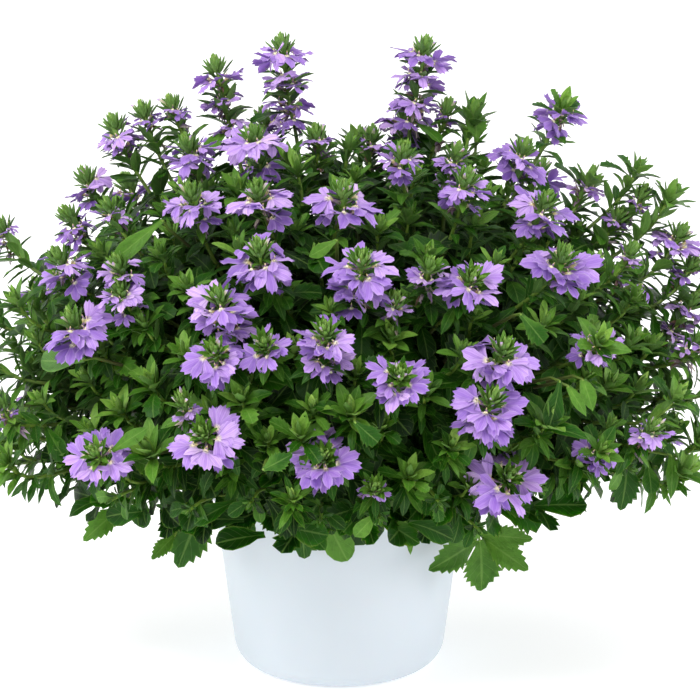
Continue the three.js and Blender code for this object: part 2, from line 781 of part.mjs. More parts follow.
// A leaf of a whorl: where it leaves the stem and the directions of its blade
function leafFrame(shoot, whorl, side, leaf, bend) {
  const { point, along: stemWay } = pointBelow(shoot, shoot.line, whorl.below);
  const [turn, lift] = LEAF_BENDS[bend];
  const angle = ((side + 0.5) / SHOOT_SIDES) * 2 * Math.PI + turn;
  const { sideways } = shoot.line;
  const first = mix(sideways, 1, stemWay, -sideways.dot(stemWay)).normalize();
  const second = stemWay.clone().cross(first);
  const out = mix(first, Math.cos(angle), second, Math.sin(angle));
  const climb = leaf.climb + lift + leaf.stray * (draw(shoot.index, side, whorl.below) - 0.5);
  const weight = shoot.kind === "hanging" ? -HANGING_WEIGHT : -LEAF_WEIGHT;
  const along = mix(out, Math.cos(climb), stemWay, Math.sin(climb), UP, weight).normalize();
  const across = stemWay.clone().cross(along).normalize();
  const length = leaf.long * (1 + LEAF_VARY * (draw(shoot.index, side, whorl.below + 1) - 0.5));
  return {
    root: mix(point, 1, out, SHOOT_RADIUS / 2),
    along, across, normal: along.clone().cross(across), length, width: length * leaf.slim, half: leaf.half,
  };
}

// The blade of a leaf: its rim from one side of the root round the tip to the other, and its ridge
function leafBlade(leaf, grow) {
  const { root, along, across, normal, length, width, half } = leaf;
  const at = (share, offset, lift) => mix(
    root, 1, along, share * length, across, offset, normal, lift - LEAF_SAG * length * share * share,
  );
  const ridge = half.length === 1 ? NARROW_RIDGE : BROAD_RIDGE;
  return {
    top: at(ridge, 0, LEAF_THICKNESS / 2 + grow),
    bottom: at(ridge, 0, -LEAF_THICKNESS / 2 - grow),
    loop: [
      ...half.map(([share, offset]) => at(share, -offset * width - grow, 0)),
      at(1 + grow / length, 0, 0),
      ...[...half].reverse().map(([share, offset]) => at(share, offset * width + grow, 0)),
    ],
  };
}

// The blade of a whorl's leaf or fan
function whorlBlade(shoot, whorl, side, leaf, bend, grow) {
  if (leaf) {
    return leafBlade(leafFrame(shoot, whorl, side, leaf, bend), grow);
  }
  const middle = ((side + 0.5) / SHOOT_SIDES) * 2 * Math.PI;
  return fanBlade(shoot, whorl.level, side, SHOOT_SIDES, middle, bend, grow);
}

// Joins a blade to four corners of a stem: the lower and upper corner before it, and those after it
function stitchBlade(points, faces, [lowBefore, lowAfter, highAfter, highBefore], { top, bottom, loop }) {
  const keep = (point) => points.push(point) - 1;
  const above = keep(top);
  const under = keep(bottom);
  const edge = loop.map(keep);
  const upper = [highBefore, ...edge, highAfter];
  const lower = [lowBefore, ...edge, lowAfter];
  for (let i = 0; i + 1 < upper.length; i += 1) {
    faces.push([above, upper[i], upper[i + 1]], [under, lower[i + 1], lower[i]]);
  }
  faces.push([above, highAfter, highBefore], [under, lowBefore, lowAfter]);
  faces.push([lowBefore, edge[0], highBefore], [highAfter, edge[edge.length - 1], lowAfter]);
}

// A blade alone, cut off at a distance from the stem's middle, for measuring its clearance
function bladeRoom(shoot, whorl, side, leaf, bend, cut, grow) {
  const blade = whorlBlade(shoot, whorl, side, leaf, bend, grow);
  const { point, along } = pointBelow(shoot, shoot.line, whorl.below);
  const out = blade.top.clone().add(blade.bottom).multiplyScalar(0.5).sub(point);
  const foot = mix(point, 1, out, cut / out.length());
  const across = along.clone().cross(out).normalize();
  const up = out.clone().cross(across).normalize();
  const half = LEAF_ROOM_ROOT;
  const corner = (sideways, lift) => mix(foot, 1, across, sideways * half, up, lift * half);
  const points = [corner(-1, -1), corner(1, -1), corner(1, 1), corner(-1, 1)];
  const faces = [[0, 2, 1], [0, 3, 2]];
  stitchBlade(points, faces, [0, 1, 2, 3], blade);
  return solidFrom(points, faces);
}

// The outline of a tuft of bracts: points and notches of a star-shaped cup on the tip
function tuftCorners(shoot, grow) {
  const { axis, first, second, tip, index } = shoot;
  const isHead = shoot.kind === "head";
  const reach = isHead ? TUFT_REACH : ROSETTE_REACH;
  const rise = isHead ? TUFT_RISE * (TUFT_BASE_SHARE + TUFT_REACH_SHARE * shoot.reach) : ROSETTE_RISE;
  const corners = [];
  for (let corner = 0; corner < TUFT_TIPS * 2; corner += 1) {
    const angle = ((corner + TUFT_TURN) / (TUFT_TIPS * 2)) * 2 * Math.PI;
    const pointed = corner % 2 === 0;
    const size = pointed ? 1 + TUFT_VARY * (draw(index, corner, 8) - 0.5) : TUFT_NOTCH;
    const radius = reach * size + grow;
    const height = pointed ? rise * size + grow : rise * TUFT_NOTCH;
    corners.push(mix(
      tip, 1, first, radius * Math.cos(angle), second, radius * Math.sin(angle), axis, height,
    ));
  }
  return corners;
}

// A tuft alone
function tuftRoom(shoot, grow) {
  const points = [
    mix(shoot.tip, 1, shoot.axis, -TUFT_ROOT - grow),
    mix(shoot.tip, 1, shoot.axis, TUFT_HEART + grow),
  ];
  const faces = [];
  const outline = tuftCorners(shoot, grow).map((point) => points.push(point) - 1);
  outline.forEach((here, index) => {
    const next = outline[(index + 1) % outline.length];
    faces.push([1, here, next], [0, next, here]);
  });
  return solidFrom(points, faces);
}

// Closes the top ring of a stem with a tuft: a band of triangles out to the cup's edge, then the cup
function stitchTuft(points, faces, shoot, ring) {
  const outline = tuftCorners(shoot, 0).map((point) => points.push(point) - 1);
  const heart = points.push(mix(shoot.tip, 1, shoot.axis, TUFT_HEART)) - 1;
  let side = 0;
  let corner = 0;
  while (side < SHOOT_SIDES || corner < outline.length) {
    const here = ring + (side % SHOOT_SIDES);
    const across = outline[corner % outline.length];
    const turnSide = (side + 1) / SHOOT_SIDES <= (corner + 1) / outline.length;
    if (corner === outline.length || (side < SHOOT_SIDES && turnSide)) {
      faces.push([here, ring + ((side + 1) % SHOOT_SIDES), across]);
      side += 1;
    } else {
      faces.push([here, outline[(corner + 1) % outline.length], across]);
      corner += 1;
    }
  }
  outline.forEach((here, index) => faces.push([heart, here, outline[(index + 1) % outline.length]]));
}

// A stretch of a shoot between two of its rings, with or without its blades and tuft
function shootSolid(shoot, line, stations, blades, grow) {
  const points = [];
  const faces = [];
  const rings = stations.map(({ below }) => {
    const { point, along } = pointBelow(shoot, line, below);
    const first = mix(line.sideways, 1, along, -line.sideways.dot(along)).normalize();
    const second = along.clone().cross(first);
    const radius = SHOOT_RADIUS + grow;
    const ring = points.length;
    for (let side = 0; side < SHOOT_SIDES; side += 1) {
      const angle = (side / SHOOT_SIDES) * 2 * Math.PI;
      points.push(mix(point, 1, first, radius * Math.cos(angle), second, radius * Math.sin(angle)));
    }
    return ring;
  });
  for (let row = 1; row < rings.length; row += 1) {
    const low = rings[row - 1];
    const high = rings[row];
    for (let side = 0; side < SHOOT_SIDES; side += 1) {
      const next = (side + 1) % SHOOT_SIDES;
      const corners = [low + side, low + next, high + next, high + side];
      const blade = blades && blades[row] ? blades[row][side] : undefined;
      if (blade) {
        stitchBlade(points, faces, corners, blade);
      } else {
        faces.push([corners[0], corners[1], corners[2]], [corners[0], corners[2], corners[3]]);
      }
    }
  }
  const last = rings[rings.length - 1];
  faces.push([rings[0], rings[0] + 2, rings[0] + 1]);
  if (blades) {
    stitchTuft(points, faces, shoot, last);
  } else {
    faces.push([last, last + 1, last + 2]);
  }
  return solidFrom(points, faces);
}

// Clearance: each placed piece keeps a slightly larger room that others stay out of. The owner of a room says
// what it is, the branch it grows on and its shoot.
const rooms = [];

function boxOf(solid) {
  const { min, max } = solid.boundingBox();
  return new THREE.Box3(new THREE.Vector3(...min), new THREE.Vector3(...max));
}

function keepRoom(solid, owner) {
  rooms.push({ solid, box: boxOf(solid), owner });
}

function isClear(solid, ignores) {
  const box = boxOf(solid);
  return rooms.every((room) => (
    ignores(room.owner) || !room.box.intersectsBox(box) || room.solid.intersect(solid).isEmpty()
  ));
}

// Build order: pot and soil, main stems, shoots, tufts, free rings of fans, then leaves and grown-on fans
const pot = solidOf(potGeometry(0));
keepRoom(solidOf(potGeometry(ROOM)), { what: "pot" });
keepRoom(solidOf(soilGeometry(ROOM)), { what: "soil" });

const stems = layOutStems();
const shoots = layOutShoots();
const stemBar = (stem, grow) => bar(
  [stem.root, stem.fork], STEM_RADIUS + grow, STEM_RADIUS * STEM_TAPER + grow, STEM_SIDES,
  new THREE.Vector3(0, 1, 0),
);
const cores = stems.map((unused, branch) => coreSolid(stems, branch, 0));
const greenParts = stems.map((stem, branch) => [stemBar(stem, 0), cores[branch]]);
stems.forEach((stem, branch) => {
  keepRoom(stemBar(stem, ROOM), { what: "stem", branch });
  keepRoom(coreSolid(stems, branch, ROOM), { what: "core", branch });
});

// Each shoot belongs to the branch in whose sector its tip lies. Its heart is kept free by the others.
for (const shoot of shoots) {
  const bearing = Math.atan2(shoot.tip.y, shoot.tip.x);
  const turn = (bearing - stems[0].bearing) / (2 * Math.PI) + 0.5 / BRANCHES;
  shoot.branch = Math.floor((turn - Math.floor(turn)) * BRANCHES);
  const heart = bar(
    [mix(shoot.tip, 1, shoot.axis, -HEART_DEPTH), mix(shoot.tip, 1, shoot.axis, TUFT_RISE)],
    TUFT_REACH, TUFT_REACH + 1, HOLE_SIDES, new THREE.Vector3(0, 1, 0),
  );
  keepRoom(heart, { what: "heart", shoot: shoot.index });
}

// The start of a shoot inside its branch's sector of the core, for one of the choices
function startPoint(shoot, stem, [lower, beside]) {
  const { x, y, z } = shoot.tip;
  const straight = Math.atan2(y, x);
  const height = (z - DOME_MIDDLE.z) / DOME_SIZE.z;
  const rise = Math.atan2(height, Math.hypot(x, y) / domeRadius(straight)) - THREE.MathUtils.degToRad(lower);
  const bearing = straight + THREE.MathUtils.degToRad(beside);
  const point = corePoint(Math.max(rise, LOWEST_START), bearing, SUNK_DEPTH / CORE_DEPTH);
  const half = Math.PI / BRANCHES;
  const aside = stem.out.clone().cross(UP);
  const away = point.dot(aside);
  const room = Math.tan(half) * point.dot(stem.out) - WALL_MARGIN / Math.cos(half);
  point.addScaledVector(aside, THREE.MathUtils.clamp(away, -room, room) - away);
  return { point, along: point.clone().sub(DOME_MIDDLE).normalize().add(UP).normalize() };
}

// Each shoot takes the first line that is clear
for (const shoot of shoots) {
  const { branch } = shoot;
  const choices = [];
  STARTS.forEach((start) => SWAYS.forEach((sway) => {
    const line = shootLine(shoot, startPoint(shoot, stems[branch], start), sway);
    choices.push({ line, stations: shootStations(shoot, line) });
  }));
  const isHere = (owner) => owner.branch === branch && (owner.what === "core" || owner.what === "stem");
  const isHeart = (owner) => owner.what === "heart";
  const isClearLine = ({ line, stations }, ignores) => isClear(
    shootSolid(shoot, line, stations, null, 0), (owner) => isHere(owner) || ignores(owner),
  );
  const chosen = choices.find((choice) => isClearLine(choice, (owner) => owner.shoot === shoot.index))
    || choices.find((choice) => isClearLine(choice, isHeart));
  if (!chosen) {
    throw new Error(`no line for shoot ${shoot.index}`);
  }
  const { line, stations } = chosen;
  Object.assign(shoot, { line, stations });
  shoot.first = mix(line.sideways, 1, shoot.axis, -line.sideways.dot(shoot.axis)).normalize();
  shoot.second = shoot.axis.clone().cross(shoot.first);
  shoot.bark = shootSolid(shoot, line, stations, null, 0);
  shoot.collar = shootSolid(shoot, line, stations, null, COLLAR);
  keepRoom(shootSolid(shoot, line, stations, null, ROOM), { what: "shoot", branch, shoot: shoot.index });
}

for (const shoot of shoots) {
  keepRoom(tuftRoom(shoot, ROOM), { what: "tuft", branch: shoot.branch, shoot: shoot.index });
}

// Free rings: every fan is bent clear of the green parts
const ringSolids = [];
const ringRooms = [];
for (const head of shoots.filter((shoot) => shoot.ownBody)) {
  const isOwn = (owner) => owner.what === "heart" || (owner.what === "shoot" && owner.shoot === head.index);
  const fans = Array.from({ length: fanCount(head) }, (unused, fan) => fan);
  const tries = TWISTS.map((twist) => ({
    twist,
    bends: fans.map((fan) => FAN_BENDS.findIndex((unused, bend) => {
      const trial = ringSolid(head, [fan], { [fan]: bend }, twist, 0);
      return head.collar.intersect(trial).isEmpty() && isClear(trial, isOwn);
    })),
  }));
  const worst = ({ bends }) => Math.max(...bends.map((bend) => (bend < 0 ? FAN_BENDS.length : bend)));
  const { twist, bends } = tries.reduce((best, other) => (worst(other) < worst(best) ? other : best));
  if (bends.includes(-1)) {
    throw new Error(`no room for the fans of head ${head.index}`);
  }
  ringSolids.push(ringSolid(head, fans, bends, twist, 0));
  ringRooms.push(ringSolid(head, fans, bends, twist, ROOM));
}
ringRooms.forEach((room) => keepRoom(room, { what: "ring" }));

// Leaves and grown-on fans: each bent clear, or left out. A leaf may end in its own core, but not more of it
// than CORE_SHARE.
for (const shoot of shoots) {
  const isOwn = (owner) => owner.what === "heart" || (owner.what === "shoot" && owner.shoot === shoot.index);
  const isFoot = (owner) => owner.what === "foot" && owner.branch === shoot.branch;
  const blades = shoot.stations.map(({ whorl }) => {
    if (!whorl) {
      return undefined;
    }
    const isFans = whorl.level !== undefined;
    const leaves = whorl.leaves || Array(SHOOT_SIDES).fill(null);
    const bends = isFans ? FAN_BENDS : LEAF_BENDS;
    const turn = isFans ? 0 : Math.floor(SHOOT_SIDES * draw(shoot.index, whorl.below, 9));
    const sides = [];
    leaves.forEach((leaf, item) => {
      const side = (item + turn) % SHOOT_SIDES;
      const room = (bend, cut, grow) => bladeRoom(shoot, whorl, side, leaf, bend, cut, grow);
      const isCore = (owner) => owner.what === "core" && owner.branch === shoot.branch;
      const isSunk = (blade) => (
        cores[shoot.branch].intersect(blade).volume() > CORE_SHARE * blade.volume()
      );
      const find = (ignores) => bends.findIndex((unused, index) => {
        const blade = room(index, LEAF_FREE, 0);
        return shoot.bark.intersect(blade).isEmpty() && !isSunk(blade)
          && isClear(blade, (owner) => isOwn(owner) || isFoot(owner) || ignores(owner))
          && isClear(room(index, LEAF_FOOT, 0), (owner) => isOwn(owner) || owner.branch === shoot.branch);
      });
      const free = find(() => false);
      const bend = free < 0 ? find(isCore) : free;
      if (bend >= 0) {
        sides[side] = whorlBlade(shoot, whorl, side, leaf, bend, 0);
        keepRoom(room(bend, LEAF_FREE, ROOM), { what: "blade", branch: shoot.branch });
        keepRoom(room(bend, LEAF_FOOT, ROOM), { what: "foot", branch: shoot.branch });
      }
    });
    return sides;
  });
  greenParts[shoot.branch].push(shootSolid(shoot, shoot.line, shoot.stations, blades, 0));
}

// Soil with a plain hole round each main stem
let soil = solidOf(soilGeometry(0));
for (const stem of stems) {
  const way = stem.fork.clone().sub(stem.root).normalize();
  const foot = mix(stem.root, 1, way, -GAP);
  const radius = STEM_RADIUS + HOLE_GAP;
  const end = mix(foot, 1, way, STEM_DEPTH * 2);
  soil = soil.subtract(bar([foot, end], radius, radius, HOLE_SIDES, new THREE.Vector3(0, 1, 0)));
}

// The finished parts
const potPlastic = new THREE.MeshStandardMaterial({ name: "pot_plastic", color: 0xe3eaef, roughness: 0.55 });
const pottingSoil = new THREE.MeshStandardMaterial({ name: "potting_soil", color: 0x3a2a1e, roughness: 1 });
const greenLeaf = new THREE.MeshStandardMaterial({ name: "green_leaf", color: 0x3c6b2a, roughness: 0.6 });
const violetPetal = new THREE.MeshStandardMaterial({ name: "violet_petal", color: 0xb28ae0, roughness: 0.6 });

const plant = new THREE.Group();

function addPart(name, solid, material) {
  const mesh = new THREE.Mesh(geometryOf(solid), material);
  mesh.name = name;
  plant.add(mesh);
}

const label = (number) => String(number).padStart(2, "0");

addPart("pot", pot, potPlastic);
addPart("soil", soil, pottingSoil);
greenParts.forEach((parts, branch) => {
  const bodies = Manifold.union(parts).decompose();
  bodies.sort((one, other) => other.volume() - one.volume());
  addPart(`leafy_branch_${label(branch + 1)}`, bodies[0], greenLeaf);
});
const heads = Manifold.union(ringSolids).decompose();
heads.sort((one, other) => other.volume() - one.volume());
heads.forEach((head, index) => addPart(`flower_head_${label(index + 1)}`, head, violetPetal));

export default plant;
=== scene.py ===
# Potted fan flower: the looks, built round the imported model.
# The plant is laid out in millimetres by the model's own rules, and its meshes are written in metres.

import math
from types import SimpleNamespace as Form

import bpy
import numpy as np
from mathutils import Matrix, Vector


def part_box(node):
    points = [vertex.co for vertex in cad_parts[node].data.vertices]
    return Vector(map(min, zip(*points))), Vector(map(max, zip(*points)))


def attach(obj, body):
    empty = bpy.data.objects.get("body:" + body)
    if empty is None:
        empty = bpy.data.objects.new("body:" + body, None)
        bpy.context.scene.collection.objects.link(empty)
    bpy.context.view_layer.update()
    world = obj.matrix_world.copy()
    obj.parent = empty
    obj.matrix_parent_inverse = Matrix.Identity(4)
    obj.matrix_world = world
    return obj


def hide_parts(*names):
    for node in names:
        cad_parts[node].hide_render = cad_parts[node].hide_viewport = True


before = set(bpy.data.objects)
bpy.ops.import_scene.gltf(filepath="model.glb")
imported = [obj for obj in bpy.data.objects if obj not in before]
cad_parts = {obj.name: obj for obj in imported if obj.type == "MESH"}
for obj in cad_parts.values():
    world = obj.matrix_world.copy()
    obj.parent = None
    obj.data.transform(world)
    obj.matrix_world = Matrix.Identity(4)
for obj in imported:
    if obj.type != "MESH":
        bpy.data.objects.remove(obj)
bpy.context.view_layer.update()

MM = 0.001
UP = np.array((0.0, 0.0, 1.0))
TOWARDS_VIEWER = np.array((0.0, -1.0, 0.0))
FULL_TURN = 2 * math.pi
GOLDEN_TURN = math.pi * (3 - math.sqrt(5))
DRAW_PITCHES = (12.9898, 78.233, 37.719)
DRAW_SCALE = 43758.5453
DRAWS_APART = 10

# Pot and soil, in millimetres
POT_FLARE = 0.129
POT_CORNER = 16
POT_WALL = 2.4
POT_LIP = 1.6
POT_LIP_HEIGHT = 5
POT_LIP_SLOPE = 1
POT_LIP_LEAD = 0.6
POT_RIM_EDGE = 0.8
# Points that round the lip off: the share of its width, and the height from its foot or from the rim
LIP_FOOT_POINTS = ((0.9, -0.2), (1, 0.4))
LIP_TOP_POINTS = ((0.7, -0.2), (0.3, 0))
POT_BEVEL = 0.5
POT_SIDES = 128
CORNER_STEPS = 10
SOIL_RINGS = 22
SOIL_SIDES = 72
SOIL_MOUND = 4
SOIL_GAP = 0.4
# Pitch and turn of each set of ripples
SOIL_RIPPLES = ((0.31, 0.4), (0.73, 1.9), (1.37, 4.2))
SOIL_RIPPLE_CROSS_PITCH = 1.13
SOIL_RIPPLE_HEIGHT = 0.7
SOIL_RIPPLE_DEPTH = 0.8
SOIL_EDGE_KEPT = 0.05

# Branches and the dense inside of the bush
BRANCHES = 6
FIRST_BEARING = math.radians(-90)
STEM_CIRCLE = 30
STEM_DEPTH = 18
STEM_STEPS = 5
FORK_CIRCLE = 46
FORK_HEIGHT = 34
STEM_RADIUS = 2.6
STEM_THINNING = 0.8
STEM_SIDES = 8
STEM_TONE = 0.2
CORE_DEPTH = 0.68
CORE_FLOOR = 126
SUNK_DEPTH = 0.6
LOWEST_START = math.radians(-34)
WALL_MARGIN = 5
START_BELOW = math.radians(8)
LEAFLESS_DEPTH = 0.57

# Shoots
SHOOT_RADIUS = 1.25
SHOOT_FOOT_WIDENING = 1.15
TIP_RADIUS = 0.9
TIP_STRAIGHT = 9
SHOOT_STEPS = 9
LEVEL_DROP = 15
TIP_ABOVE_RING = 3
TOP_LEAN = 0.12
SIDE_LEAN = 0.42
FACING_LEAN = 0.45
HANGING_DROP = 0.25
START_HANDLE = 0.12
WAY_HANDLE = 0.2
TIP_HANDLE = 0.28
SWAY = 0.16
CROWN_HEIGHT = 110
# How much of its slant round the shoot each fan makes up for
FAN_LEVELLING = 0.85
FACING_LEVELLING = 0.75

# The dome that the flower heads lie on, and the place it is seen from
DOME_MIDDLE = np.array((0.0, 0.0, 170.0))
DOME_SIZE = np.array((225.0, 190.0, 170.0))
VIEW_DISTANCE = 2361
VIEW_RISE = math.radians(15.93)
VIEW_AIM = np.array((6.6, 0.0, 199.0))
VIEW_LENS = 199
EYE_WAY = np.array((0, -math.cos(VIEW_RISE), math.sin(VIEW_RISE)))
PICTURE_UP = np.array((0, math.sin(VIEW_RISE), math.cos(VIEW_RISE)))
EYE = VIEW_AIM + EYE_WAY * VIEW_DISTANCE

# Flower heads seen from the front: mm right of the aim, mm above it, reach of the petals, depth in the dome
OWN_BODY_REACH = 14
TALL_SPIKES = [
    (-81, 169, 18, 1), (-41, 182, 20, 1), (45, 181, 22, 1),
]
UPRIGHT_HEADS = [
    (-143, 134, 16, 1), (-125, 142, 12, 0.9), (-108, 146, 12, 0.85), (-98, 121, 20, 1),
    (-58, 127, 23, 1), (-20, 128, 12, 0.95), (13, 127, 12, 0.9), (32, 117, 16, 1),
    (64, 117, 13, 0.95), (70, 101, 18, 1.02), (59, 144, 9, 0.9), (105, 119, 21, 1),
    (144, 100, 13, 1), (118, 87, 22, 1), (163, 79, 10, 0.95), (177, 92, 9, 1), (200, 68, 20, 1),
    (-160, 102, 17, 1), (-170, 79, 15, 1), (-146, 84, 12, 1.03), (-96, 92, 21, 1), (-56, 93, 23, 1),
    (-4, 93, 24, 1), (-211, 72, 12, 1), (-176, 53, 21, 1), (-140, 49, 16, 1), (-139, 34, 16, 0.97),
    (-168, 15, 24, 1), (-55, 58, 23, 1), (48, 48, 13, 0.97), (129, 54, 25, 1.02), (170, 57, 10, 1),
    (207, 49, 12, 0.95), (212, 3, 12, 1), (27, 27, 12, 0.9), (93, -2, 24, 1), (-101, -34, 10, 0.95),
    (183, -50, 14, 1), (-212, -37, 9, 1), (-231, 31, 16, 1), (-237, -21, 14, 1), (231, 54, 16, 1),
    (237, -13, 16, 1),
]
DOUBLE_HEADS = [
    (-79, 29, 22, 1), (7, 51, 24, 1.02), (207, 26, 17, 1), (-15, 9, 19, 1), (86, -32, 23, 1),
]
FACING_HEADS = [
    (129, 146, 19, 1), (74, 42, 21, 1), (151, 3, 17, 1), (-82, -2, 20, 1), (-52, 2, 18, 0.98),
    (30, -17, 20, 1), (-89, -52, 25, 0.97), (-154, -64, 23, 1), (-16, -66, 23, 0.9),
    (15, -85, 10, 0.85), (96, -78, 25, 0.88), (152, -62, 16, 0.95),
]
# Heads with a leafy rosette in the place of the tuft, by their first two values
LEAFY_HEADS = {(129, 146), (144, 100), (151, 3), (152, -62)}
# Flower heads of the back: rise on the dome in degrees, number, first and last bearing, reach
BACK_ROWS = [
    (-12, 6, 22, 158, 20), (16, 6, 28, 152, 22), (42, 4, 38, 142, 21), (66, 2, 60, 120, 20),
]
BACK_SHIFT = 8
BACK_OWN_EVERY = 3
# Leafy tips without flowers, and those that hang over the pot's rim
LEAFY_TIPS = [
    (175, 110, 1), (195, 93, 1), (75, 142, 0.95), (-210, -68, 1), (-204, 30, 1), (-223, 0, 1),
    (-232, -55, 1), (199, -29, 1), (214, -55, 1), (238, 12, 1), (204, -73, 1), (-66, -30, 0.92),
    (-30, -52, 0.9), (62, -58, 0.9), (120, -44, 0.94), (-122, -62, 0.92), (0, -38, 0.9),
]
HANGING_TIPS = [
    (79, -110, 0.84), (-99, -99, 0.86), (-146, -92, 0.9), (172, -73, 0.92), (-18, -104, 0.84),
    (55, -94, 0.87), (116, -84, 0.88), (-61, -94, 0.85), (18, -103, 0.85),
]
BACK_HANGING_ROW = (-22, 5, 32, 148, 0.86)

# Young leafy shoots between the others, which only the looks have
YOUNG_SHOOTS = 190
YOUNG_LOWEST = -9
YOUNG_DEPTH = 0.8
YOUNG_DEPTH_VARY = 0.12
YOUNG_CLEARANCE = 17


def draw(shoot, item, kind):
    """A repeatable number from 0 to 1 for one item of one shoot. Each use of it has a kind of its own."""
    one, two, three = DRAW_PITCHES
    wave = math.sin(shoot * one + item * two + kind * three) * DRAW_SCALE
    return wave - math.floor(wave)


def vary(shoot, item, kind):
    """A repeatable number from -1 to 1."""
    return 2 * draw(shoot, item, kind) - 1


def lerp(first, last, share):
    return first + (last - first) * share


def between(ends, shoot, item, kind):
    """A repeatable number between two ends."""
    return lerp(*ends, draw(shoot, item, kind))


def about(middle_and_swing, shoot, item, kind):
    """A repeatable number that lies up to a swing away from a middle."""
    middle, swing = middle_and_swing
    return middle + swing * vary(shoot, item, kind)


def trend(ends_and_swing, share, shoot, item, kind):
    """A repeatable number up to a swing away from where a share of the way between two ends is."""
    first, last, swing = ends_and_swing
    return lerp(first, last, share) + swing * vary(shoot, item, kind)


def unit(vector):
    return vector / np.linalg.norm(vector)


def across_from(way, direction):
    """The part of a direction that is square to a way, at length 1."""
    return unit(direction - way * np.dot(way, direction))


def turned_to(first, second, angle):
    """The direction at an angle from the first of two square directions towards the second."""
    return first * math.cos(angle) + second * math.sin(angle)


# Layout of the plant

def place_on_dome(side, height, depth):
    """Where the line of sight through a point of the picture meets the dome, or passes it nearest."""
    seen = VIEW_AIM + np.array((side, 0, 0)) + PICTURE_UP * height
    sight = unit(seen - EYE)
    size = DOME_SIZE * depth
    start = (EYE - DOME_MIDDLE) / size
    step = sight / size
    square = step @ step
    cross = start @ step
    root = math.sqrt(max(cross * cross - square * (start @ start - 1), 0))
    return EYE + sight * ((-cross - root) / square)


def way_at(rise, bearing):
    """The direction at a rise and bearing in radians."""
    return np.array((math.cos(rise) * math.cos(bearing), math.cos(rise) * math.sin(bearing), math.sin(rise)))


def place_at_bearing(rise, bearing, depth=1):
    """The point at a share of the dome's size, for a rise and bearing in degrees."""
    return DOME_MIDDLE + DOME_SIZE * way_at(math.radians(rise), math.radians(bearing)) * depth


def even_spiral(number, lowest_rise):
    """Rise and bearing in degrees of points spread evenly over the dome above a lowest rise."""
    lowest = math.sin(math.radians(lowest_rise))
    for item in range(number):
        rise = math.degrees(math.asin(lerp(lowest, 1, (item + 0.5) / number)))
        yield rise, math.degrees(item * GOLDEN_TURN)


def nearness(point):
    """0 in the middle of the dome, 1 on its surface."""
    return np.linalg.norm((point - DOME_MIDDLE) / DOME_SIZE)


def tip_axis(place, facing, hanging):
    """The direction a tip points: nearly upright on top of the plant, leaning out at its sides."""
    out = unit(np.array((place[0], place[1], 0)))
    if hanging:
        return unit(out - UP * HANGING_DROP)
    reach = math.hypot(place[0], place[1])
    rise = math.atan2(max(place[2] - CROWN_HEIGHT, 0), reach)
    lean = TOP_LEAN + SIDE_LEAN * (math.pi / 2 - rise)
    axis = UP * math.cos(lean) + out * math.sin(lean)
    return unit(axis + TOWARDS_VIEWER * (FACING_LEAN if facing else 0))


def dome_radius(bearing):
    return 1 / math.hypot(math.cos(bearing) / DOME_SIZE[0], math.sin(bearing) / DOME_SIZE[1])


def sunk_point(rise, bearing):
    """The point where a shoot starts inside the core, for a rise and bearing in radians."""
    floor = (DOME_MIDDLE[2] - CORE_FLOOR) / DOME_SIZE[2]
    core_depth = min(CORE_DEPTH, floor / math.sin(-rise)) if rise < 0 else CORE_DEPTH
    depth = SUNK_DEPTH / CORE_DEPTH * core_depth
    radius = dome_radius(bearing) * math.cos(rise) * depth
    height = DOME_MIDDLE[2] + DOME_SIZE[2] * math.sin(rise) * depth
    return np.array((radius * math.cos(bearing), radius * math.sin(bearing), height))


def branch_at(point):
    """The branch in whose sector a point lies."""
    turn = (math.atan2(point[1], point[0]) - FIRST_BEARING) / FULL_TURN + 0.5 / BRANCHES
    return int((turn % 1) * BRANCHES)


def stem_out(branch):
    bearing = FIRST_BEARING + branch / BRANCHES * FULL_TURN
    return np.array((math.cos(bearing), math.sin(bearing), 0))


